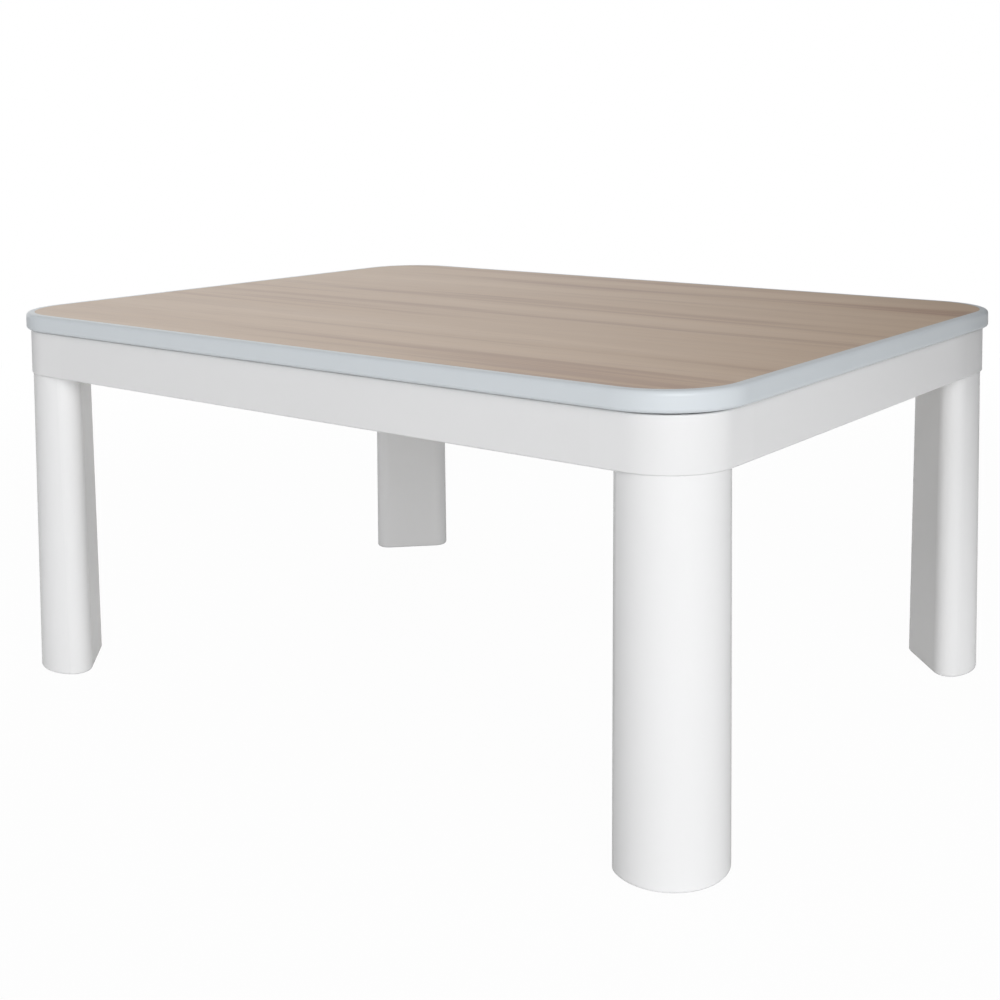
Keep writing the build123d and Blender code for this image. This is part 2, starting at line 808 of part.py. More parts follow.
with BuildPart() as heater_bezel:
    with BuildSketch(Plane.XY.offset(bezel_foot)):
        RectangleRounded(bezel_length, bezel_depth, bezel_radius)
    extrude(amount=bezel_thickness)
    fillet(heater_bezel.edges().group_by(Axis.Z)[0], bezel_rounding)
    with BuildSketch(Plane.XY.offset(bezel_foot)):
        RectangleRounded(bezel_opening_length, bezel_opening_depth, bezel_opening_radius)
    extrude(amount=bezel_thickness, mode=Mode.SUBTRACT)
    with BuildSketch(Plane.XY.offset(housing_foot)):
        RectangleRounded(rebate_length, rebate_span, bezel_opening_radius + rebate_width)
    extrude(amount=-rebate_depth, mode=Mode.SUBTRACT)
    for side in (-1, 1):
        for end in (-1, 1):
            seat = Plane(
                origin=(side * bezel_screw_spread, end * lip_screw_y, bezel_foot), z_dir=(0, 0, -1)
            )
            with Locations(seat):
                CounterBoreHole(
                    bezel_screw_radius + pilot_fit,
                    bezel_screw_head_radius + pilot_fit,
                    bezel_screw_head_height,
                    depth=bezel_thickness,
                )
write(heater_bezel, "heater_bezel")

bezel_screw_planes = [
    Plane(
        origin=(side * bezel_screw_spread, end * lip_screw_y, bezel_foot + bezel_screw_head_height),
        z_dir=(0, 0, -1),
    )
    for side in (-1, 1)
    for end in (-1, 1)
]
bezel_screw = pan_screw(
    bezel_screw_length, bezel_screw_radius, bezel_screw_head_radius, bezel_screw_head_height
)
write(screws_on(bezel_screw, bezel_screw_planes), "bezel_screws")

rim_z = housing_foot - rebate_depth + rim_wire_radius
rim_x = rebate_length / 2 - rim_wire_radius - ceramic_fit
rim_y = rebate_span / 2 - rim_wire_radius - ceramic_fit
rim_bend = bezel_opening_radius + rebate_width - rim_wire_radius - ceramic_fit


def guard_wire(reach, level, along_x, place):
    """One grid wire: it dips below the bezel and ends on the rim wire on both sides."""
    shoulder = reach - rebate_width - guard_shoulder
    profile = [
        (-reach, rim_z),
        (-shoulder, rim_z),
        (-shoulder + guard_slope, level),
        (shoulder - guard_slope, level),
        (shoulder, rim_z),
        (reach, rim_z),
    ]
    points = [(p, place, z) if along_x else (place, p, z) for p, z in profile]
    across = (1, 0, 0) if along_x else (0, 1, 0)
    with BuildPart() as wire:
        with BuildLine():
            Polyline(*points)
        with BuildSketch(Plane(origin=points[0], z_dir=across)):
            Circle(grid_wire_radius)
        sweep(transition=Transition.RIGHT)
    return wire


cross_level = housing_foot - guard_depth + grid_wire_radius
long_level = cross_level + 2 * grid_wire_radius + weld_gap
cross_half = (cross_wire_count - 1) * cross_wire_pitch / 2
long_half = (long_wire_count - 1) * long_wire_pitch / 2

with BuildSketch(Plane.XY.offset(rim_z)) as rim_plan:
    RectangleRounded(2 * rim_x, 2 * rim_y, rim_bend)
rim_path = rim_plan.sketch.faces()[0].outer_wire()

with BuildPart() as heater_guard:
    with BuildSketch(Plane(origin=rim_path @ 0, z_dir=rim_path % 0)):
        Circle(rim_wire_radius)
    sweep(path=rim_path)
    for number in range(cross_wire_count):
        add(guard_wire(rim_y, cross_level, False, number * cross_wire_pitch - cross_half).part)
    for number in range(long_wire_count):
        add(guard_wire(rim_x, long_level, True, number * long_wire_pitch - long_half).part)
write(heater_guard, "heater_guard")

# ---- Reflector -------------------------------------------------------------------------------

trough_inside = tube_y - trough_radius
trough_outside = tube_y + trough_radius
ridge_z = tube_z - ridge_drop
flange_tip = flank_foot + reflector_flange
reflector_half = tube_bracket_place - reflector_end_gap

with BuildPart() as heater_reflector:
    with BuildSketch(Plane.YZ.offset(-reflector_half)):
        with BuildLine() as bent_sheet:
            Polyline(
                (-flange_tip, housing_foot), (-flank_foot, housing_foot), (-trough_outside, tube_z)
            )
            ThreePointArc(
                (-trough_outside, tube_z), (-tube_y, tube_z + trough_radius), (-trough_inside, tube_z)
            )
            Polyline(
                (-trough_inside, tube_z),
                (-ridge_half_width, ridge_z),
                (ridge_half_width, ridge_z),
                (trough_inside, tube_z),
            )
            ThreePointArc(
                (trough_inside, tube_z), (tube_y, tube_z + trough_radius), (trough_outside, tube_z)
            )
            Polyline(
                (trough_outside, tube_z), (flank_foot, housing_foot), (flange_tip, housing_foot)
            )
            offset(amount=reflector_sheet, side=Side.LEFT)
        make_face()
    extrude(amount=2 * reflector_half)
write(heater_reflector, "heater_reflector")

# ---- Quartz tubes ----------------------------------------------------------------------------

cap_place = tube_bracket_place + tube_bracket_sheet
neck_start = cap_place - cap_neck_length
rod_half = cap_place + cap_flange_length + terminal_reach

tube_length = 2 * (neck_start + tube_seat - tube_end_gap)

for tube_name, tube_end in (("front", -1), ("back", 1)):
    with BuildPart() as quartz_tube:
        with BuildSketch(
            Plane(origin=(-tube_length / 2, tube_end * tube_y, tube_z), z_dir=(1, 0, 0))
        ):
            Circle(tube_radius)
            Circle(tube_radius - tube_wall, mode=Mode.SUBTRACT)
        extrude(amount=tube_length)
    write(quartz_tube, f"quartz_tube_{tube_name}")

    with BuildPart() as heating_coil:
        with BuildSketch(
            Plane(origin=(-coil_length / 2, tube_end * tube_y, tube_z), z_dir=(1, 0, 0))
        ):
            Circle(coil_radius)
        extrude(amount=coil_length)
        with BuildSketch(
            Plane(origin=(-rod_half, tube_end * tube_y, tube_z), z_dir=(1, 0, 0))
        ):
            Circle(terminal_radius)
        extrude(amount=2 * rod_half)
    write(heating_coil, f"heating_coil_{tube_name}")

# Ceramic caps: the neck passes through the bracket and takes the tube, the flange stays outside
with BuildPart() as end_cap:
    with BuildSketch(Plane(origin=(cap_place, tube_y, tube_z), z_dir=(1, 0, 0))):
        Circle(cap_flange_radius)
    extrude(amount=cap_flange_length)
    with BuildSketch(Plane(origin=(cap_place, tube_y, tube_z), z_dir=(-1, 0, 0))):
        Circle(cap_neck_radius)
    extrude(amount=cap_neck_length)
    with BuildSketch(Plane(origin=(neck_start, tube_y, tube_z), z_dir=(1, 0, 0))):
        Circle(tube_radius + ceramic_fit)
    extrude(amount=tube_seat, mode=Mode.SUBTRACT)
    with BuildSketch(Plane(origin=(neck_start, tube_y, tube_z), z_dir=(1, 0, 0))):
        Circle(terminal_radius + ceramic_fit)
    extrude(amount=cap_neck_length + cap_flange_length, mode=Mode.SUBTRACT)
write(in_all_corners(end_cap), "tube_end_caps")

with BuildPart() as tube_bracket:
    with BuildSketch(Plane.YZ.offset(tube_bracket_place)):
        with Locations((0, housing_foot + tube_bracket_height / 2)):
            Rectangle(2 * flange_tip, tube_bracket_height)
        with Locations((-tube_y, tube_z), (tube_y, tube_z)):
            Circle(cap_neck_radius + ceramic_fit, mode=Mode.SUBTRACT)
    extrude(amount=tube_bracket_sheet)
    with BuildSketch(Plane.XY.offset(housing_foot)):
        with Locations((tube_bracket_place + tube_bracket_foot / 2, 0)):
            Rectangle(tube_bracket_foot, tube_bracket_foot_span)
    extrude(amount=tube_bracket_sheet)
    chamfer(tube_bracket.edges().filter_by(Axis.X).group_by(Axis.Z)[-1], tube_bracket_chamfer)
write(tube_bracket, "tube_bracket_right")
write(in_corner(tube_bracket, -1, 1), "tube_bracket_left")

# ---- Electrical parts on the reflector's middle valley ---------------------------------------

valley = ridge_z + reflector_sheet

block_top = valley + terminal_block_height
post_foot = block_top - terminal_post_depth
post_pitch = terminal_block_length / 3
post_left = terminal_block_place - post_pitch
post_right = terminal_block_place + post_pitch
post_y = terminal_block_width / 4

with BuildPart() as terminal_block:
    with BuildSketch(Plane.XY.offset(valley)):
        with Locations((terminal_block_place, 0)):
            RectangleRounded(terminal_block_length, terminal_block_width, terminal_block_rounding)
    extrude(amount=terminal_block_height)
    with Locations(Plane(origin=(terminal_block_place, 0, block_top))):
        with GridLocations(post_pitch, 2 * post_y, 3, 2):
            Hole(terminal_post_radius, depth=terminal_post_depth)
write(terminal_block, "terminal_block")

with BuildPart() as thermostat:
    with BuildSketch(Plane.XY.offset(valley)):
        with Locations((thermostat_place, 0)):
            Circle(thermostat_radius)
    extrude(amount=thermostat_height)
    with BuildSketch(Plane.XY.offset(valley + thermostat_height)):
        with Locations((thermostat_place, 0)):
            Circle(thermostat_cap_radius)
    extrude(amount=thermostat_cap_height)
write(thermostat, "thermostat")

fuse_z = valley + fuse_clip_rise + fuse_radius
fuse_right = fuse_place + fuse_length / 2
fuse_left = fuse_place - fuse_length / 2

with BuildPart() as thermal_fuse:
    with BuildSketch(Plane(origin=(fuse_left, 0, fuse_z), z_dir=(1, 0, 0))):
        Circle(fuse_radius)
    extrude(amount=fuse_length)
    with BuildSketch(Plane.XY.offset(valley)):
        with Locations((fuse_place, 0)):
            Rectangle(fuse_clip_length, fuse_clip_width)
    extrude(amount=fuse_clip_rise + fuse_radius)
write(thermal_fuse, "thermal_fuse")

# ---- Power inlet -----------------------------------------------------------------------------

inlet_wall_y = heater_depth / 2
inlet_seat_y = inlet_wall_y + inlet_base
inlet_plane = Plane(
    origin=(inlet_place, inlet_wall_y, inlet_z), x_dir=(-1, 0, 0), z_dir=(0, 1, 0)
)
boss_trim = 2 * inlet_wall

with BuildPart() as power_inlet:
    with BuildSketch(inlet_plane):
        RectangleRounded(inlet_length, inlet_height, inlet_rounding)
    extrude(amount=inlet_reach)
    with BuildSketch(inlet_plane):
        SlotOverall(inlet_flange_length, inlet_height / 2)
    extrude(amount=inlet_base)
    with BuildSketch(inlet_plane):
        RectangleRounded(
            inlet_length - boss_trim - inlet_window_fit * 2,
            inlet_height - boss_trim - inlet_window_fit * 2,
            inlet_rounding - inlet_wall,
        )
    extrude(amount=-inlet_boss_depth)
    with BuildSketch(inlet_plane.offset(inlet_base)):
        RectangleRounded(
            inlet_length - boss_trim, inlet_height - boss_trim, inlet_rounding - inlet_wall
        )
    extrude(amount=inlet_reach - inlet_base, mode=Mode.SUBTRACT)
    with BuildSketch(inlet_plane.offset(-inlet_boss_depth)):
        with Locations((-pin_pitch / 2, 0), (pin_pitch / 2, 0)):
            Circle(pin_root_radius + pin_fit)
    extrude(amount=inlet_boss_depth + inlet_base, mode=Mode.SUBTRACT)
    with BuildSketch(inlet_plane):
        with Locations((-inlet_screw_spread, 0), (inlet_screw_spread, 0)):
            Circle(inlet_screw_radius + screw_hole_fit)
    extrude(amount=inlet_base, mode=Mode.SUBTRACT)
write(power_inlet, "power_inlet")

with BuildPart() as inlet_pins:
    with BuildSketch(inlet_plane.offset(-inlet_boss_depth - pin_tail)):
        with Locations((-pin_pitch / 2, 0), (pin_pitch / 2, 0)):
            Circle(pin_root_radius)
    extrude(amount=pin_tail + inlet_boss_depth + inlet_base)
    with BuildSketch(inlet_plane.offset(inlet_base)):
        with Locations((-pin_pitch / 2, 0), (pin_pitch / 2, 0)):
            Circle(pin_radius)
    extrude(amount=pin_exposed)
    chamfer(inlet_pins.edges().group_by(Axis.Y)[-1], pin_chamfer)
write(inlet_pins, "inlet_pins")

inlet_screw = pan_screw(
    inlet_screw_length, inlet_screw_radius, inlet_screw_head_radius, inlet_screw_head_height
)
inlet_screw_planes = [
    Plane(
        origin=(inlet_place + side * inlet_screw_spread, inlet_seat_y, inlet_z),
        z_dir=(0, 1, 0),
    )
    for side in (-1, 1)
]
write(screws_on(inlet_screw, inlet_screw_planes), "inlet_screws")

# ---- Wiring inside the heater ----------------------------------------------------------------

lead_z = tube_z + trough_radius + reflector_sheet + lead_clearance + lead_radius
low_lead_z = block_top + lead_drop
pin_tail_y = inlet_wall_y - inlet_boss_depth - pin_tail
lead_turn_y = pin_tail_y - lead_run
lead_turn_x = rod_half + lead_run
thermostat_lead_x = (thermostat_cap_radius + thermostat_radius) / 2
thermostat_rim = valley + thermostat_height
fuse_turn = fuse_left - lead_run

lead_routes = []
# from the inlet pins to the terminal block
for pin_side, post in ((-1, terminal_block_place), (1, post_right)):
    pin_x = inlet_place + pin_side * pin_pitch / 2
    lead_routes.append(
        [
            (pin_x, pin_tail_y, inlet_z),
            (pin_x, lead_turn_y, inlet_z),
            (pin_x, lead_turn_y, lead_z),
            (post, post_y, lead_z),
            (post, post_y, post_foot),
        ]
    )
# from the tubes' terminals to the terminal block
for side, end, post in ((1, 1, post_right), (1, -1, terminal_block_place), (-1, -1, post_left)):
    lead_routes.append(
        [
            (side * rod_half, end * tube_y, tube_z),
            (side * lead_turn_x, end * tube_y, tube_z),
            (side * lead_turn_x, end * tube_y, lead_z),
            (post, -post_y, lead_z),
            (post, -post_y, post_foot),
        ]
    )
# the fourth terminal goes through the fuse and the thermostat
lead_routes.append(
    [
        (-rod_half, tube_y, tube_z),
        (-lead_turn_x, tube_y, tube_z),
        (-lead_turn_x, tube_y, lead_z),
        (fuse_turn, 0, lead_z),
        (fuse_turn, 0, fuse_z),
        (fuse_left, 0, fuse_z),
    ]
)
lead_routes.append(
    [
        (fuse_right, 0, fuse_z),
        (fuse_right + lead_run, 0, fuse_z),
        (fuse_right + lead_run, 0, low_lead_z),
        (thermostat_place - thermostat_lead_x, 0, low_lead_z),
        (thermostat_place - thermostat_lead_x, 0, thermostat_rim),
    ]
)
lead_routes.append(
    [
        (thermostat_place + thermostat_lead_x, 0, thermostat_rim),
        (thermostat_place + thermostat_lead_x, 0, low_lead_z),
        (post_left, post_y, low_lead_z),
        (post_left, post_y, post_foot),
    ]
)

with BuildPart() as heater_leads:
    for route in lead_routes:
        with BuildLine() as lead_path:
            Polyline(*route)
        with BuildSketch(Plane(origin=route[0], z_dir=Vector(route[1]) - Vector(route[0]))):
            Circle(lead_radius)
        sweep(path=lead_path.line, transition=Transition.RIGHT)
write(heater_leads, "heater_leads")
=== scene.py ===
import math

import bmesh
import bpy
from mathutils import Matrix, Vector


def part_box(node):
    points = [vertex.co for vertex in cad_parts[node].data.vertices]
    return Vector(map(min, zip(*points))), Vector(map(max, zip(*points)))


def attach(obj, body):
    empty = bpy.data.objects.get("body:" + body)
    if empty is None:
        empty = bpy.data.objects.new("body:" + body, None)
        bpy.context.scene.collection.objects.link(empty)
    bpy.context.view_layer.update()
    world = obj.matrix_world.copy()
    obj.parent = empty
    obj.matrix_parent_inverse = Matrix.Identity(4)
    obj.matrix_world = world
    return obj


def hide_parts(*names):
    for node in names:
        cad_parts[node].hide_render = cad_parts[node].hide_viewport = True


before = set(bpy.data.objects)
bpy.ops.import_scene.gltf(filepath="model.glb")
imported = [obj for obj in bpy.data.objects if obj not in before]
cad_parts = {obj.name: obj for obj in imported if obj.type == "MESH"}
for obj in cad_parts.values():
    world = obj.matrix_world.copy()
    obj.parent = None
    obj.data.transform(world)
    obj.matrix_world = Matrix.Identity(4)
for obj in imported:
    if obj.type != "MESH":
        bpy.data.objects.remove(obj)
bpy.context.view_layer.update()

# ---- Legs and foot caps ----------------------------------------------------------------------
# Four hollow legs, injection moulded in glossy white plastic, with a D section that is round
# outside. Each is bolted up into its corner block and closed below by a plugged cap.


def shader_node(tree, kind, inputs, settings=None):
    """A shader node with its settings and inputs filled in; a socket given as a value is linked."""
    made = tree.nodes.new(kind)
    for setting, value in (settings or {}).items():
        setattr(made, setting, value)
    for socket, value in inputs.items():
        if isinstance(value, bpy.types.NodeSocket):
            tree.links.new(value, made.inputs[socket])
        else:
            made.inputs[socket].default_value = value
    return made


def effect_group(name, inputs, outputs):
    """An empty node group with named sockets, and its two end nodes."""
    group = bpy.data.node_groups.new(name, "ShaderNodeTree")
    for socket_name, kind, value in inputs:
        socket = group.interface.new_socket(socket_name, in_out="INPUT", socket_type=kind)
        socket.default_value = value
    for socket_name, kind in outputs:
        group.interface.new_socket(socket_name, in_out="OUTPUT", socket_type=kind)
    return group, group.nodes.new("NodeGroupInput"), group.nodes.new("NodeGroupOutput")


def object_pattern(group, scale):
    """Object coordinates stretched by a scale along each axis."""
    place = shader_node(group, "ShaderNodeTexCoord", {})
    return shader_node(
        group, "ShaderNodeMapping", {"Vector": place.outputs["Object"], "Scale": scale}
    ).outputs["Vector"]


def moulded_skin_group():
    """Moulded plastic: faint cloudy tint, soft handling marks and a fine orange-peel surface."""
    group, given, result = effect_group(
        "moulded_skin",
        [
            ("Colour", "NodeSocketColor", (0.8, 0.8, 0.8, 1.0)),
            ("Tint Change", "NodeSocketFloat", 0.03),
            ("Roughness", "NodeSocketFloat", 0.3),
            ("Marks", "NodeSocketFloat", 0.06),
            ("Peel Scale", "NodeSocketFloat", 500.0),
        ],
        [
            ("Colour", "NodeSocketColor"),
            ("Roughness", "NodeSocketFloat"),
            ("Height", "NodeSocketFloat"),
        ],
    )
    where = object_pattern(group, (1.0, 1.0, 1.0))
    cloud = shader_node(
        group, "ShaderNodeTexNoise", {"Vector": where, "Scale": 5.0, "Detail": 3.0}
    )
    darker = shader_node(
        group,
        "ShaderNodeMath",
        {0: cloud.outputs["Fac"], 1: given.outputs["Tint Change"]},
        {"operation": "MULTIPLY"},
    )
    value = shader_node(
        group, "ShaderNodeMath", {0: 1.0, 1: darker.outputs[0]}, {"operation": "SUBTRACT"}
    )
    tint = shader_node(
        group,
        "ShaderNodeHueSaturation",
        {"Color": given.outputs["Colour"], "Value": value.outputs[0]},
    )
    marks = shader_node(
        group, "ShaderNodeTexNoise", {"Vector": where, "Scale": 28.0, "Detail": 6.0}
    )
    spread = shader_node(
        group,
        "ShaderNodeMapRange",
        {"Value": marks.outputs["Fac"], "From Min": 0.35, "From Max": 0.75, "To Max": 1.0},
    )
    rough = shader_node(
        group,
        "ShaderNodeMath",
        {0: spread.outputs[0], 1: given.outputs["Marks"], 2: given.outputs["Roughness"]},
        {"operation": "MULTIPLY_ADD"},
    )
    peel = shader_node(
        group,
        "ShaderNodeTexNoise",
        {"Vector": where, "Scale": given.outputs["Peel Scale"], "Detail": 2.0},
    )
    group.links.new(tint.outputs["Color"], result.inputs["Colour"])
    group.links.new(rough.outputs[0], result.inputs["Roughness"])
    group.links.new(peel.outputs["Fac"], result.inputs["Height"])
    return group


def surface_finish(name, effect, effect_values, shader_values, bump, depth):
    """A material: one effect group feeds colour, roughness and relief of a Principled shader."""
    material = bpy.data.materials.new(name)
    material.use_nodes = True
    tree = material.node_tree
    shader = tree.nodes["Principled BSDF"]
    for socket, value in shader_values.items():
        shader.inputs[socket].default_value = value
    pattern = tree.nodes.new("ShaderNodeGroup")
    pattern.node_tree = effect
    for socket, value in effect_values.items():
        pattern.inputs[socket].default_value = value
    relief = shader_node(
        tree,
        "ShaderNodeBump",
        {"Height": pattern.outputs["Height"], "Strength": bump, "Distance": depth},
    )
    tree.links.new(pattern.outputs["Colour"], shader.inputs["Base Color"])
    tree.links.new(pattern.outputs["Roughness"], shader.inputs["Roughness"])
    tree.links.new(relief.outputs["Normal"], shader.inputs["Normal"])
    return material


def coat(material, *node_names):
    """Give CAD nodes their finish."""
    for node_name in node_names:
        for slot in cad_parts[node_name].material_slots:
            slot.material = material


CORNERS = ("front_left", "front_right", "back_left", "back_right")
moulded_skin = moulded_skin_group()
leg_white = surface_finish(
    "glossy_white_moulding",
    moulded_skin,
    {"Colour": (0.88, 0.882, 0.888, 1.0), "Roughness": 0.2, "Marks": 0.05, "Peel Scale": 420.0},
    {"Coat Weight": 0.35, "Coat Roughness": 0.08, "IOR": 1.5},
    bump=0.05,
    depth=0.0004,
)
coat(leg_white, "foot_caps", *[f"leg_{corner}" for corner in CORNERS])

# ---- Felt foot pads --------------------------------------------------------------------------
# Pads of pressed brown-grey felt, stuck under the caps so that the table slides on tatami or
# flooring without marking it.


def pressed_fibre_group():
    """Pressed fibre: short tangled hairs in lighter and darker shades with a soft nap."""
    group, given, result = effect_group(
        "pressed_fibre",
        [
            ("Colour", "NodeSocketColor", (0.4, 0.4, 0.4, 1.0)),
            ("Dark Colour", "NodeSocketColor", (0.2, 0.2, 0.2, 1.0)),
            ("Fibre Scale", "NodeSocketFloat", 900.0),
            ("Roughness", "NodeSocketFloat", 0.9),
        ],
        [
            ("Colour", "NodeSocketColor"),
            ("Roughness", "NodeSocketFloat"),
            ("Height", "NodeSocketFloat"),
        ],
    )
    where = object_pattern(group, (1.0, 1.0, 1.0))
    hairs = shader_node(
        group,
        "ShaderNodeTexNoise",
        {
            "Vector": where,
            "Scale": given.outputs["Fibre Scale"],
            "Detail": 6.0,
            "Distortion": 2.5,
        },
    )
    contrast = shader_node(
        group,
        "ShaderNodeMapRange",
        {"Value": hairs.outputs["Fac"], "From Min": 0.35, "From Max": 0.68},
    )
    shade = shader_node(
        group,
        "ShaderNodeMixRGB",
        {
            "Fac": contrast.outputs[0],
            "Color1": given.outputs["Dark Colour"],
            "Color2": given.outputs["Colour"],
        },
    )
    group.links.new(shade.outputs["Color"], result.inputs["Colour"])
    group.links.new(given.outputs["Roughness"], result.inputs["Roughness"])
    group.links.new(hairs.outputs["Fac"], result.inputs["Height"])
    return group


pressed_fibre = pressed_fibre_group()
foot_felt = surface_finish(
    "brown_grey_felt",
    pressed_fibre,
    {"Colour": (0.21, 0.18, 0.15, 1.0), "Dark Colour": (0.08, 0.065, 0.05, 1.0)},
    {"Sheen Weight": 0.4, "Sheen Roughness": 0.6},
    bump=0.8,
    depth=0.0006,
)
coat(foot_felt, "foot_pads")

# ---- Corner blocks and apron rails -----------------------------------------------------------
# The blocks are moulded in the same white plastic as the legs but with a finer, duller skin.
# The rails between them are fibreboard wrapped in a matching white film, screwed to the arms.

block_white = surface_finish(
    "satin_white_moulding",
    moulded_skin,
    {"Colour": (0.83, 0.832, 0.838, 1.0), "Roughness": 0.34, "Marks": 0.05, "Peel Scale": 650.0},
    {"IOR": 1.48},
    bump=0.06,
    depth=0.0003,
)
rail_film = surface_finish(
    "white_wrapped_film",
    moulded_skin,
    {"Colour": (0.82, 0.822, 0.828, 1.0), "Roughness": 0.38, "Marks": 0.05, "Peel Scale": 900.0},
    {"IOR": 1.48},
    bump=0.08,
    depth=0.00025,
)
coat(block_white, *[f"corner_block_{corner}" for corner in CORNERS])
coat(rail_film, "long_rail_front", "long_rail_back", "short_rail_left", "short_rail_right")

# ---- Steel fasteners and brackets ------------------------------------------------------------
# Screws, bolts, washers, nuts and angle brackets in zinc plated steel. The plating is slightly
# mottled, with fine marks along the way each piece was rolled or turned.


def plated_steel_group():
    """Plated or rolled sheet: mottled plating and fine lines that run along one axis."""
    group, given, result = effect_group(
        "plated_steel",
        [
            ("Colour", "NodeSocketColor", (0.7, 0.7, 0.7, 1.0)),
            ("Dark Colour", "NodeSocketColor", (0.5, 0.5, 0.5, 1.0)),
            ("Line Stretch", "NodeSocketVector", (30.0, 900.0, 900.0)),
            ("Roughness", "NodeSocketFloat", 0.35),
            ("Rough Change", "NodeSocketFloat", 0.15),
        ],
        [
            ("Colour", "NodeSocketColor"),
            ("Roughness", "NodeSocketFloat"),
            ("Height", "NodeSocketFloat"),
        ],
    )
    place = shader_node(group, "ShaderNodeTexCoord", {})
    along = shader_node(
        group,
        "ShaderNodeMapping",
        {"Vector": place.outputs["Object"], "Scale": given.outputs["Line Stretch"]},
    )
    lines = shader_node(
        group, "ShaderNodeTexNoise", {"Vector": along.outputs[0], "Scale": 1.0, "Detail": 3.0}
    )
    mottle = shader_node(
        group,
        "ShaderNodeTexVoronoi",
        {"Vector": place.outputs["Object"], "Scale": 260.0, "Randomness": 1.0},
    )
    blend = shader_node(
        group,
        "ShaderNodeMath",
        {0: lines.outputs["Fac"], 1: mottle.outputs["Distance"]},
        {"operation": "MULTIPLY"},
    )
    shade = shader_node(
        group,
        "ShaderNodeMixRGB",
        {
            "Fac": blend.outputs[0],
            "Color1": given.outputs["Colour"],
            "Color2": given.outputs["Dark Colour"],
        },
    )
    rough = shader_node(
        group,
        "ShaderNodeMath",
        {
            0: lines.outputs["Fac"],
            1: given.outputs["Rough Change"],
            2: given.outputs["Roughness"],
        },
        {"operation": "MULTIPLY_ADD"},
    )
    group.links.new(shade.outputs["Color"], result.inputs["Colour"])
    group.links.new(rough.outputs[0], result.inputs["Roughness"])
    group.links.new(lines.outputs["Fac"], result.inputs["Height"])
    return group


plated_steel = plated_steel_group()
zinc = surface_finish(
    "zinc_plated_steel",
    plated_steel,
    {"Colour": (0.62, 0.62, 0.6, 1.0), "Dark Colour": (0.4, 0.41, 0.42, 1.0)},
    {"Metallic": 1.0},
    bump=0.1,
    depth=0.0001,
)
coat(
    zinc,
    "leg_bolts",
    "leg_washers",
    "leg_nuts",
    "corner_block_screws",
    "cross_rail_brackets",
    "bracket_screws",
    "heater_mounting_screws",
    "bezel_screws",
    "inlet_screws",
    "tube_bracket_left",
    "tube_bracket_right",
)

# ---- Cross recesses in the screw heads -------------------------------------------------------
# The screws are cold headed from steel wire, and a punch leaves the cross recess that the driver
# turns, a little narrower at its foot.

# Shares of the head's radius, and the foot's size as a share of the mouth's
RECESS_REACH = 0.62
RECESS_WIDTH = 0.27
RECESS_DEPTH = 0.34
RECESS_FOOT = 0.5
# A face looks one way when its normal's cosine to that way is past the first; the end of a screw
# that reaches past the second share of its full radius is the head
SAME_WAY = 0.9
HEAD_SHARE = 0.9
MERGE_DISTANCE = 0.000001


def take(*pieces):
    """Select these pieces alone and make the first one active."""
    bpy.ops.object.select_all(action="DESELECT")
    for piece in pieces:
        piece.select_set(True)
    bpy.context.view_layer.objects.active = pieces[0]


def settle(piece):
    """Leave a new piece at the origin, unturned and unscaled, with its place in its mesh."""
    take(piece)
    bpy.ops.object.transform_apply(location=True, rotation=True, scale=True)


def join_as(name, parts):
    """Join finished meshes into one piece."""
    take(*parts)
    bpy.ops.object.join()
    parts[0].name = name
    parts[0].data.name = name
    return parts[0]


def choose_faces(piece, way, spread):
    """In edit mode, select the faces that look one way and lie within a distance of its axis."""
    surface = bmesh.from_edit_mesh(piece.data)
    for face in surface.faces:
        off_axis = face.calc_center_median().cross(way).length
        face.select_set(face.normal.dot(way) > SAME_WAY and off_axis < spread)
    bmesh.update_edit_mesh(piece.data)


def cross_punch():
    """A punch for a head of radius one: a square bar with its four sides drawn out as arms."""
    bpy.ops.object.select_all(action="DESELECT")
    bpy.ops.mesh.primitive_cube_add(size=RECESS_WIDTH)
    punch = bpy.context.object
    bpy.ops.object.mode_set(mode="EDIT")
    bpy.ops.mesh.select_mode(type="FACE")
    for way in (Vector((1, 0, 0)), Vector((-1, 0, 0)), Vector((0, 1, 0)), Vector((0, -1, 0))):
        choose_faces(punch, way, RECESS_WIDTH / 4)
        bpy.ops.mesh.extrude_region_move(
            TRANSFORM_OT_translate={"value": way * (RECESS_REACH - RECESS_WIDTH / 2)}
        )
    bpy.ops.mesh.select_all(action="SELECT")
    bpy.ops.transform.resize(
        value=(1.0, 1.0, 2 * RECESS_DEPTH / RECESS_WIDTH), center_override=(0.0, 0.0, 0.0)
    )
    choose_faces(punch, Vector((0, 0, -1)), RECESS_REACH)
    bpy.ops.transform.resize(
        value=(RECESS_FOOT, RECESS_FOOT, 1.0), center_override=(0.0, 0.0, -RECESS_DEPTH)
    )
    bpy.ops.object.mode_set(mode="OBJECT")
    return punch


def head_of(screw):
    """The middle of a screw's head face, the way it faces, and the head's radius."""
    points = [vertex.co for vertex in screw.data.vertices]
    low = Vector([min(point[i] for point in points) for i in range(3)])
    high = Vector([max(point[i] for point in points) for i in range(3)])
    middle = (low + high) / 2
    axis = max(range(3), key=lambda i: high[i] - low[i])
    across = [i for i in range(3) if i != axis]
    radius = max(high[i] - low[i] for i in across) / 2
    upper_reach = max(
        max(abs(point[i] - middle[i]) for i in across)
        for point in points
        if point[axis] > middle[axis]
    )
    side = 1.0 if upper_reach > HEAD_SHARE * radius else -1.0
    outward = Vector([side if i == axis else 0.0 for i in range(3)])
    crown = middle.copy()
    crown[axis] = high[axis] if side > 0 else low[axis]
    return crown, outward, radius


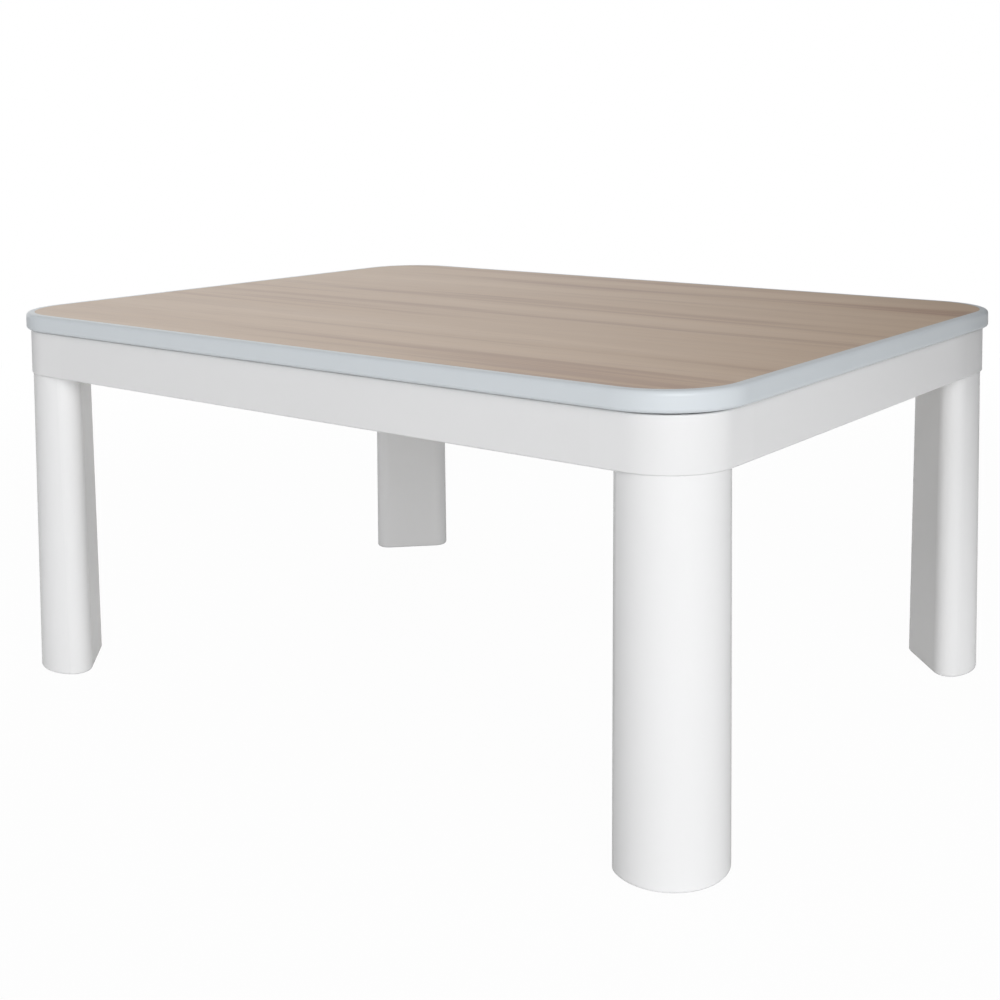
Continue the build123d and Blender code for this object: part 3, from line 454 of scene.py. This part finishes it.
def recessed_screws(node_name, punch):
    """A copy of a node's screws, each with the recess punched into its head."""
    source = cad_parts[node_name]
    copy = bpy.data.objects.new(node_name + "_copy", source.data.copy())
    bpy.context.scene.collection.objects.link(copy)
    take(copy)
    bpy.ops.mesh.customdata_custom_splitnormals_clear()
    bpy.ops.object.mode_set(mode="EDIT")
    bpy.ops.mesh.select_all(action="SELECT")
    bpy.ops.mesh.remove_doubles(threshold=MERGE_DISTANCE)
    bpy.ops.mesh.separate(type="LOOSE")
    bpy.ops.object.mode_set(mode="OBJECT")
    screws = sorted(bpy.context.selected_objects, key=lambda screw: screw.name)
    for screw in screws:
        crown, outward, radius = head_of(screw)
        punch.matrix_world = (
            Matrix.Translation(crown)
            @ outward.to_track_quat("Z", "Y").to_matrix().to_4x4()
            @ Matrix.Scale(radius, 4)
        )
        take(screw)
        cut = screw.modifiers.new("recess", "BOOLEAN")
        cut.operation = "DIFFERENCE"
        cut.solver = "EXACT"
        cut.object = punch
        bpy.ops.object.modifier_apply(modifier="recess")
    piece = join_as("recessed_" + node_name, screws)
    bpy.ops.object.shade_smooth_by_angle(angle=math.radians(35))
    piece.data.materials.clear()
    piece.data.materials.append(zinc)
    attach(piece, "frame")
    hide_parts(node_name)


punch = cross_punch()
for screw_node in (
    "corner_block_screws",
    "bracket_screws",
    "heater_mounting_screws",
    "bezel_screws",
    "inlet_screws",
):
    recessed_screws(screw_node, punch)
bpy.data.objects.remove(punch)

# ---- Cross rails -----------------------------------------------------------------------------
# Two planed softwood battens that carry the heater, left bare. Their grain runs from the front
# of the table to the back.

# How much the narrow streaks count beside the broad bands, and how much they roughen the surface
STREAK_SHARE = 0.55
STREAK_ROUGHNESS = 0.12


def wood_streak_group():
    """Wood grain: broad bands, narrow streaks and short pores, all drawn out along one axis."""
    group, given, result = effect_group(
        "wood_streaks",
        [
            ("Light Colour", "NodeSocketColor", (0.6, 0.5, 0.4, 1.0)),
            ("Middle Colour", "NodeSocketColor", (0.5, 0.4, 0.3, 1.0)),
            ("Dark Colour", "NodeSocketColor", (0.3, 0.2, 0.15, 1.0)),
            ("Band Stretch", "NodeSocketVector", (1.0, 14.0, 14.0)),
            ("Streak Stretch", "NodeSocketVector", (3.0, 120.0, 120.0)),
            ("Pore Stretch", "NodeSocketVector", (60.0, 1800.0, 1800.0)),
            ("Wander", "NodeSocketFloat", 0.6),
            ("Pore Depth", "NodeSocketFloat", 0.25),
            ("Roughness", "NodeSocketFloat", 0.4),
        ],
        [
            ("Colour", "NodeSocketColor"),
            ("Roughness", "NodeSocketFloat"),
            ("Height", "NodeSocketFloat"),
        ],
    )
    place = shader_node(group, "ShaderNodeTexCoord", {})

    def drawn_out(stretch, detail, fineness, wander):
        stretched = shader_node(
            group,
            "ShaderNodeMapping",
            {"Vector": place.outputs["Object"], "Scale": given.outputs[stretch]},
        )
        return shader_node(
            group,
            "ShaderNodeTexNoise",
            {
                "Vector": stretched.outputs[0],
                "Scale": 1.0,
                "Detail": detail,
                "Roughness": fineness,
                "Distortion": wander,
            },
        ).outputs["Fac"]

    bands = drawn_out("Band Stretch", 2.0, 0.48, given.outputs["Wander"])
    streaks = drawn_out("Streak Stretch", 5.0, 0.64, 0.2)
    pores = drawn_out("Pore Stretch", 1.0, 0.48, 0.0)
    figure = shader_node(
        group,
        "ShaderNodeMath",
        {0: streaks, 1: STREAK_SHARE, 2: bands},
        {"operation": "MULTIPLY_ADD"},
    )
    shades = shader_node(
        group,
        "ShaderNodeMapRange",
        {"Value": figure.outputs[0], "From Min": 0.5, "From Max": 1.05},
    )
    lighter = shader_node(
        group,
        "ShaderNodeMixRGB",
        {
            "Fac": shades.outputs[0],
            "Color1": given.outputs["Middle Colour"],
            "Color2": given.outputs["Light Colour"],
        },
    )
    dark_part = shader_node(
        group,
        "ShaderNodeMapRange",
        {"Value": figure.outputs[0], "From Min": 0.72, "From Max": 0.5},
    )
    banded = shader_node(
        group,
        "ShaderNodeMixRGB",
        {
            "Fac": dark_part.outputs[0],
            "Color1": lighter.outputs["Color"],
            "Color2": given.outputs["Dark Colour"],
        },
    )
    pore_mask = shader_node(
        group, "ShaderNodeMapRange", {"Value": pores, "From Min": 0.6, "From Max": 0.72}
    )
    pore_shade = shader_node(
        group,
        "ShaderNodeMath",
        {0: pore_mask.outputs[0], 1: given.outputs["Pore Depth"]},
        {"operation": "MULTIPLY"},
    )
    pored = shader_node(
        group,
        "ShaderNodeMixRGB",
        {
            "Fac": pore_shade.outputs[0],
            "Color1": banded.outputs["Color"],
            "Color2": given.outputs["Dark Colour"],
        },
    )
    rough = shader_node(
        group,
        "ShaderNodeMath",
        {0: streaks, 1: STREAK_ROUGHNESS, 2: given.outputs["Roughness"]},
        {"operation": "MULTIPLY_ADD"},
    )
    height = shader_node(
        group, "ShaderNodeMath", {0: streaks, 1: pore_mask.outputs[0]}, {"operation": "SUBTRACT"}
    )
    group.links.new(pored.outputs["Color"], result.inputs["Colour"])
    group.links.new(rough.outputs[0], result.inputs["Roughness"])
    group.links.new(height.outputs[0], result.inputs["Height"])
    return group


wood_streaks = wood_streak_group()
softwood = surface_finish(
    "planed_softwood",
    wood_streaks,
    {
        "Light Colour": (0.66, 0.47, 0.27, 1.0),
        "Middle Colour": (0.57, 0.38, 0.2, 1.0),
        "Dark Colour": (0.36, 0.2, 0.09, 1.0),
        "Band Stretch": (60.0, 2.0, 60.0),
        "Streak Stretch": (420.0, 8.0, 420.0),
        "Pore Stretch": (2500.0, 90.0, 2500.0),
        "Roughness": 0.6,
    },
    {},
    bump=0.35,
    depth=0.0003,
)
coat(softwood, "cross_rail_left", "cross_rail_right")

# ---- Heater housing, insulation and reflector ------------------------------------------------
# A pan drawn from sheet steel and baked dark grey, with a mineral fibre sheet under its roof.
# The reflector is one bent sheet of bright aluminised steel, rolled lengthwise.

housing_paint = surface_finish(
    "dark_grey_baked_paint",
    moulded_skin,
    {"Colour": (0.065, 0.066, 0.07, 1.0), "Tint Change": 0.2, "Roughness": 0.42, "Marks": 0.12,
     "Peel Scale": 800.0},
    {},
    bump=0.15,
    depth=0.0004,
)
mineral_fibre = surface_finish(
    "mineral_fibre_sheet",
    pressed_fibre,
    {"Colour": (0.66, 0.62, 0.54, 1.0), "Dark Colour": (0.45, 0.42, 0.36, 1.0),
     "Fibre Scale": 500.0},
    {},
    bump=0.6,
    depth=0.0005,
)
bright_sheet = surface_finish(
    "aluminised_sheet",
    plated_steel,
    {"Colour": (0.82, 0.82, 0.83, 1.0), "Dark Colour": (0.66, 0.66, 0.68, 1.0),
     "Line Stretch": (12.0, 700.0, 700.0), "Roughness": 0.16, "Rough Change": 0.16},
    {"Metallic": 1.0},
    bump=0.12,
    depth=0.0001,
)
coat(housing_paint, "heater_housing")
coat(mineral_fibre, "heater_insulation")
coat(bright_sheet, "heater_reflector")

# ---- Bezel, guard and power inlet ------------------------------------------------------------
# The bezel and the shrouded inlet are moulded in black heat-resistant plastic with a matt
# sparked skin. The guard is welded steel wire under black stoving enamel.

heat_plastic = surface_finish(
    "black_heat_plastic",
    moulded_skin,
    {"Colour": (0.028, 0.028, 0.03, 1.0), "Tint Change": 0.25, "Roughness": 0.5, "Marks": 0.14,
     "Peel Scale": 1400.0},
    {},
    bump=0.35,
    depth=0.0003,
)
guard_enamel = surface_finish(
    "black_wire_enamel",
    moulded_skin,
    {"Colour": (0.018, 0.018, 0.018, 1.0), "Tint Change": 0.3, "Roughness": 0.26, "Marks": 0.16,
     "Peel Scale": 1100.0},
    {},
    bump=0.1,
    depth=0.0002,
)
pin_brass = surface_finish(
    "turned_brass",
    plated_steel,
    {"Colour": (0.72, 0.5, 0.2, 1.0), "Dark Colour": (0.5, 0.32, 0.12, 1.0),
     "Line Stretch": (900.0, 40.0, 900.0), "Roughness": 0.22},
    {"Metallic": 1.0},
    bump=0.08,
    depth=0.0001,
)
coat(heat_plastic, "heater_bezel", "power_inlet")
coat(guard_enamel, "heater_guard")
coat(pin_brass, "inlet_pins")

# ---- Quartz tubes, end caps and small electrical parts ---------------------------------------
# Milky fused quartz tubes held in unglazed ceramic caps. The terminal block is ceramic too, the
# thermostat is a plated steel can, and the fuse and the leads are in woven glass sleeves.

milky_quartz = surface_finish(
    "milky_quartz",
    moulded_skin,
    {"Colour": (0.93, 0.92, 0.9, 1.0), "Roughness": 0.12, "Marks": 0.12, "Peel Scale": 300.0},
    {"Transmission Weight": 0.88, "IOR": 1.46},
    bump=0.05,
    depth=0.0002,
)
ceramic = surface_finish(
    "unglazed_ceramic",
    moulded_skin,
    {"Colour": (0.76, 0.73, 0.66, 1.0), "Tint Change": 0.08, "Roughness": 0.62, "Marks": 0.1,
     "Peel Scale": 900.0},
    {},
    bump=0.3,
    depth=0.0003,
)
glass_sleeve = surface_finish(
    "woven_glass_sleeve",
    pressed_fibre,
    {"Colour": (0.74, 0.71, 0.64, 1.0), "Dark Colour": (0.5, 0.47, 0.4, 1.0),
     "Fibre Scale": 1500.0},
    {},
    bump=0.5,
    depth=0.0003,
)
coat(milky_quartz, "quartz_tube_front", "quartz_tube_back")
coat(ceramic, "tube_end_caps", "terminal_block")
coat(glass_sleeve, "thermal_fuse", "heater_leads")
coat(zinc, "thermostat")

# ---- Heating coils ---------------------------------------------------------------------------
# Close helices of oxidised resistance wire inside the tubes, with a straight terminal rod that
# leaves through the cap at each end.

# Lengths in metres, the flat sides of wire and rod, the straight steps in one turn, and the
# rod's rounding as a share of its radius
WIRE_RADIUS = 0.00042
WIRE_SIDES = 6
COIL_RADIUS = 0.0034
COIL_HALF = 0.1
COIL_PITCH = 0.0016
TURN_STEPS = 14
ROD_RADIUS = 0.0008
ROD_SIDES = 16
ROD_ROUNDING = 0.4

coil_metal = surface_finish(
    "oxidised_resistance_wire",
    plated_steel,
    {"Colour": (0.3, 0.25, 0.22, 1.0), "Dark Colour": (0.14, 0.11, 0.1, 1.0),
     "Line Stretch": (300.0, 300.0, 300.0), "Roughness": 0.45},
    {"Metallic": 1.0},
    bump=0.2,
    depth=0.0001,
)


def wound_coil(axis_y, axis_z):
    """The helix: a small ring stepped round and along the tube's axis by a screw modifier."""
    bpy.ops.object.select_all(action="DESELECT")
    bpy.ops.mesh.primitive_circle_add(
        vertices=WIRE_SIDES, radius=WIRE_RADIUS, rotation=(0.0, math.pi / 2, 0.0)
    )
    ring = bpy.context.object
    bpy.ops.object.transform_apply(rotation=True)
    bpy.ops.object.mode_set(mode="EDIT")
    bpy.ops.mesh.select_all(action="SELECT")
    bpy.ops.transform.rotate(
        value=math.pi / 2, orient_axis="Z", center_override=(0.0, 0.0, 0.0)
    )
    bpy.ops.transform.translate(value=(0.0, 0.0, COIL_RADIUS - WIRE_RADIUS))
    bpy.ops.object.mode_set(mode="OBJECT")
    winding = ring.modifiers.new("winding", "SCREW")
    winding.axis = "X"
    winding.screw_offset = COIL_PITCH
    winding.iterations = int(2 * COIL_HALF / COIL_PITCH)
    winding.steps = TURN_STEPS
    winding.render_steps = TURN_STEPS
    bpy.ops.object.modifier_apply(modifier="winding")
    ring.location = (-COIL_HALF, axis_y, axis_z)
    settle(ring)
    return ring


def terminal_rod(side, axis_y, axis_z, tip):
    """Straight end of the wire, from two turns inside the helix out through the ceramic cap."""
    inner = COIL_HALF - 2 * COIL_PITCH
    bpy.ops.object.select_all(action="DESELECT")
    bpy.ops.mesh.primitive_cylinder_add(
        vertices=ROD_SIDES,
        radius=ROD_RADIUS,
        depth=tip - inner,
        location=(side * (inner + tip) / 2, axis_y, axis_z),
        rotation=(0.0, math.pi / 2, 0.0),
    )
    rod = bpy.context.object
    rounding = rod.modifiers.new("rounding", "BEVEL")
    rounding.width = ROD_RADIUS * ROD_ROUNDING
    rounding.segments = 2
    rounding.limit_method = "ANGLE"
    bpy.ops.object.modifier_apply(modifier="rounding")
    settle(rod)
    return rod


for place in ("front", "back"):
    low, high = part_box(f"heating_coil_{place}")
    middle_y = (low[1] + high[1]) / 2
    middle_z = (low[2] + high[2]) / 2
    helix = wound_coil(middle_y, middle_z)
    rods = [terminal_rod(side, middle_y, middle_z, high[0]) for side in (-1, 1)]
    coil = join_as(f"wound_coil_{place}", [helix, *rods])
    bpy.ops.object.shade_smooth_by_angle(angle=math.radians(40))
    coil.data.materials.clear()
    coil.data.materials.append(coil_metal)
    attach(coil, "frame")
    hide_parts(f"heating_coil_{place}")

# ---- Rubber pads -----------------------------------------------------------------------------
# Soft black pads pressed into seats on the corner blocks. The loose tabletop lies on them.

pad_rubber = surface_finish(
    "soft_black_rubber",
    moulded_skin,
    {"Colour": (0.03, 0.03, 0.03, 1.0), "Tint Change": 0.3, "Roughness": 0.72, "Marks": 0.12,
     "Peel Scale": 1600.0},
    {},
    bump=0.4,
    depth=0.0003,
)
coat(pad_rubber, "tabletop_pads")

# ---- Tabletop --------------------------------------------------------------------------------
# A particle board between two printed sheets: greyish-brown woodgrain above, plain off-white
# below. Its grain runs along the table. A soft pale moulding is pressed into a groove round it.

woodgrain = surface_finish(
    "grey_brown_woodgrain",
    wood_streaks,
    {
        "Light Colour": (0.64, 0.475, 0.335, 1.0),
        "Middle Colour": (0.53, 0.365, 0.238, 1.0),
        "Dark Colour": (0.4, 0.235, 0.155, 1.0),
        "Band Stretch": (1.5, 24.0, 24.0),
        "Streak Stretch": (2.6, 120.0, 120.0),
        "Pore Stretch": (16.0, 800.0, 800.0),
        "Wander": 0.22,
        "Pore Depth": 0.4,
        "Roughness": 0.27,
    },
    {"IOR": 1.5},
    bump=0.12,
    depth=0.0002,
)
board = surface_finish(
    "particle_board",
    pressed_fibre,
    {"Colour": (0.5, 0.36, 0.22, 1.0), "Dark Colour": (0.3, 0.2, 0.11, 1.0),
     "Fibre Scale": 260.0},
    {},
    bump=0.4,
    depth=0.0006,
)
reverse_sheet = surface_finish(
    "plain_reverse_sheet",
    moulded_skin,
    {"Colour": (0.74, 0.73, 0.69, 1.0), "Roughness": 0.36, "Peel Scale": 1200.0},
    {},
    bump=0.1,
    depth=0.0002,
)
edge_blue_white = surface_finish(
    "soft_pale_moulding",
    moulded_skin,
    {"Colour": (0.67, 0.715, 0.75, 1.0), "Tint Change": 0.015, "Roughness": 0.3, "Marks": 0.02,
     "Peel Scale": 160.0},
    {"IOR": 1.52, "Specular IOR Level": 0.9},
    bump=0.02,
    depth=0.0003,
)
coat(woodgrain, "tabletop_woodgrain_face")
coat(board, "tabletop_core")
coat(reverse_sheet, "tabletop_reverse_face")
coat(edge_blue_white, "tabletop_edge_moulding")

# ---- Studio: floor, backdrop, lamps and camera -----------------------------------------------
# A plain white floor that runs out into a white background, a large soft lamp before the table's
# right corner with three weaker fills round it, and the camera a little above the top.

# Lengths in metres; the rest are strengths, where 1 is white
FLOOR_HALF = 6.0
FLOOR_FADE_START = 0.9
FLOOR_FADE_END = 2.2
FLOOR_GLOW = 0.97
AMBIENT = 0.29
REFLECTED_DARK = 0.22
REFLECTED_BRIGHT = 1.1
REFLECTED_KEY = 1.1
# The ways from the table to the bright wall and the key lamp, and the cosines off each way where
# its reflection begins and where it is full
BRIGHT_WALL_WAY = (-0.883, 0.469, 0.0)
BRIGHT_WALL_EDGE, BRIGHT_WALL_FULL = 0.72, 0.99
KEY_LAMP_WAY = (0.722, -0.627, 0.292)
KEY_LAMP_EDGE, KEY_LAMP_FULL = 0.8, 0.96
LAMP_AIM = Vector((0.0, 0.0, 0.2))


def white_floor():
    """Pale one-sided floor with a soft shadow near the table, plain white farther out."""
    material = bpy.data.materials.new("white_floor")
    material.use_nodes = True
    tree = material.node_tree
    tree.nodes.clear()
    place = shader_node(tree, "ShaderNodeTexCoord", {})
    reach = shader_node(
        tree, "ShaderNodeVectorMath", {0: place.outputs["Object"]}, {"operation": "LENGTH"}
    )
    fade = shader_node(
        tree,
        "ShaderNodeMapRange",
        {
            "Value": reach.outputs["Value"],
            "From Min": FLOOR_FADE_START,
            "From Max": FLOOR_FADE_END,
            "To Min": FLOOR_GLOW,
            "To Max": 1.0,
        },
        {"interpolation_type": "SMOOTHSTEP"},
    )
    seen = shader_node(tree, "ShaderNodeLightPath", {})
    share = shader_node(
        tree,
        "ShaderNodeMath",
        {0: fade.outputs["Result"], 1: seen.outputs["Is Camera Ray"]},
        {"operation": "MULTIPLY"},
    )
    paper = shader_node(tree, "ShaderNodeBsdfDiffuse", {"Color": (0.86, 0.86, 0.86, 1.0)})
    glow = shader_node(tree, "ShaderNodeEmission", {"Color": (1.0, 1.0, 1.0, 1.0)})
    mixed = shader_node(
        tree,
        "ShaderNodeMixShader",
        {0: share.outputs[0], 1: paper.outputs[0], 2: glow.outputs[0]},
    )
    side = shader_node(tree, "ShaderNodeNewGeometry", {})
    clear = shader_node(tree, "ShaderNodeBsdfTransparent", {})
    one_sided = shader_node(
        tree,
        "ShaderNodeMixShader",
        {0: side.outputs["Backfacing"], 1: mixed.outputs[0], 2: clear.outputs[0]},
    )
    shader_node(tree, "ShaderNodeOutputMaterial", {"Surface": one_sided.outputs[0]})
    return material


bpy.ops.object.select_all(action="DESELECT")
bpy.ops.mesh.primitive_plane_add(size=2 * FLOOR_HALF)
floor = bpy.context.object
floor.name = "floor"
floor.data.materials.append(white_floor())

# White room: plain white to the camera, dim all round for the light on the table, and for shiny
# surfaces dark with a bright wall behind the table's left and the key lamp's glow
world = bpy.data.worlds.new("white_room")
bpy.context.scene.world = world
world.use_nodes = True
sky = world.node_tree
sky.nodes.clear()
path = shader_node(sky, "ShaderNodeLightPath", {})
ambient = shader_node(
    sky, "ShaderNodeBackground", {"Color": (1.0, 1.0, 1.0, 1.0), "Strength": AMBIENT}
)
ray_way = shader_node(sky, "ShaderNodeTexCoord", {})
to_bright_wall = shader_node(
    sky,
    "ShaderNodeVectorMath",
    {0: ray_way.outputs["Generated"], 1: BRIGHT_WALL_WAY},
    {"operation": "DOT_PRODUCT"},
)
reflected = shader_node(
    sky,
    "ShaderNodeMapRange",
    {
        "Value": to_bright_wall.outputs["Value"],
        "From Min": BRIGHT_WALL_EDGE,
        "From Max": BRIGHT_WALL_FULL,
        "To Min": REFLECTED_DARK,
        "To Max": REFLECTED_BRIGHT,
    },
)
to_key = shader_node(
    sky,
    "ShaderNodeVectorMath",
    {0: ray_way.outputs["Generated"], 1: KEY_LAMP_WAY},
    {"operation": "DOT_PRODUCT"},
)
key_reflected = shader_node(
    sky,
    "ShaderNodeMapRange",
    {
        "Value": to_key.outputs["Value"],
        "From Min": KEY_LAMP_EDGE,
        "From Max": KEY_LAMP_FULL,
        "To Min": 0.0,
        "To Max": REFLECTED_KEY,
    },
    {"interpolation_type": "SMOOTHSTEP"},
)
both_reflected = shader_node(
    sky,
    "ShaderNodeMath",
    {0: reflected.outputs[0], 1: key_reflected.outputs[0]},
    {"operation": "ADD"},
)
mirrored = shader_node(
    sky,
    "ShaderNodeBackground",
    {"Color": (1.0, 1.0, 1.0, 1.0), "Strength": both_reflected.outputs[0]},
)
white = shader_node(sky, "ShaderNodeBackground", {"Color": (1.0, 1.0, 1.0, 1.0)})
lit = shader_node(
    sky,
    "ShaderNodeMixShader",
    {0: path.outputs["Is Glossy Ray"], 1: ambient.outputs[0], 2: mirrored.outputs[0]},
)
shown = shader_node(
    sky,
    "ShaderNodeMixShader",
    {0: path.outputs["Is Camera Ray"], 1: lit.outputs[0], 2: white.outputs[0]},
)
shader_node(sky, "ShaderNodeOutputWorld", {"Surface": shown.outputs[0]})


def soft_lamp(name, azimuth, elevation, distance, size, power):
    """Square area lamp around the table, aimed at it. Azimuth 0 is in front, 90 at the right."""
    turn, rise = math.radians(azimuth), math.radians(elevation)
    out = Vector(
        (math.sin(turn) * math.cos(rise), -math.cos(turn) * math.cos(rise), math.sin(rise))
    )
    lamp = bpy.data.lights.new(name, "AREA")
    lamp.shape = "SQUARE"
    lamp.size = size
    lamp.energy = power
    carrier = bpy.data.objects.new(name, lamp)
    bpy.context.scene.collection.objects.link(carrier)
    carrier.location = LAMP_AIM + out * distance
    carrier.rotation_euler = out.to_track_quat("Z", "Y").to_euler()
    carrier.visible_camera = False
    carrier.visible_glossy = False


soft_lamp("key_softbox", azimuth=49.0, elevation=17.0, distance=7.0, size=4.6, power=330.0)
soft_lamp("top_softbox", azimuth=0.0, elevation=89.0, distance=2.4, size=1.8, power=5.0)
soft_lamp("back_fill", azimuth=215.0, elevation=18.0, distance=5.0, size=3.0, power=84.0)
soft_lamp("left_fill", azimuth=-30.0, elevation=8.0, distance=4.0, size=2.2, power=12.0)

# Dark card at the right, out of sight, which lets the far end of the short side fall off
CARD_PLACE = (0.65, 0.4, 0.5)
CARD_HEIGHT, CARD_WIDTH = 0.56, 0.68

bpy.ops.object.select_all(action="DESELECT")
bpy.ops.mesh.primitive_plane_add(
    size=1.0, location=CARD_PLACE, rotation=(0.0, math.pi / 2, 0.0)
)
card = bpy.context.object
card.name = "dark_card"
card.scale = (CARD_HEIGHT, CARD_WIDTH, 1.0)
card.visible_camera = False
card_black = bpy.data.materials.new("card_black")
card_black.use_nodes = True
card_shader = card_black.node_tree.nodes["Principled BSDF"]
card_shader.inputs["Base Color"].default_value = (0.02, 0.02, 0.02, 1.0)
card.data.materials.append(card_black)

# Viewpoint: a lens with vertical shift, low over the front right corner. Lens and centre are in
# pixels of a 1000 pixel picture, the place in lengths of the apron, the angles in radians.
LENS_PIXELS = 1452.3
FRAME_PIXELS = 1000.0
CENTRE_X, CENTRE_Y = 540.0, 220.0
APRON_LENGTH = 0.786
CAMERA_AT = Vector((1.12905, -1.42449, 0.68437)) * APRON_LENGTH
YAW, PITCH, ROLL = 0.64423, 0.06559, -0.0062

view_data = bpy.data.cameras.new("camera")
view_data.sensor_width = 36.0
view_data.lens = LENS_PIXELS / FRAME_PIXELS * view_data.sensor_width
view_data.shift_x = (FRAME_PIXELS / 2 - CENTRE_X) / FRAME_PIXELS
view_data.shift_y = (CENTRE_Y - FRAME_PIXELS / 2) / FRAME_PIXELS
camera = bpy.data.objects.new("camera", view_data)
bpy.context.scene.collection.objects.link(camera)
ahead = Vector(
    (-math.sin(YAW) * math.cos(PITCH), math.cos(YAW) * math.cos(PITCH), -math.sin(PITCH))
)
level = Vector((math.cos(YAW), math.sin(YAW), 0.0))
upright = level.cross(ahead)
right = math.cos(ROLL) * level + math.sin(ROLL) * upright
up = math.cos(ROLL) * upright - math.sin(ROLL) * level
facing = Matrix((right, up, -ahead)).transposed().to_4x4()
camera.matrix_world = Matrix.Translation(CAMERA_AT) @ facing
bpy.context.scene.camera = camera
bpy.context.scene.view_settings.view_transform = "Standard"
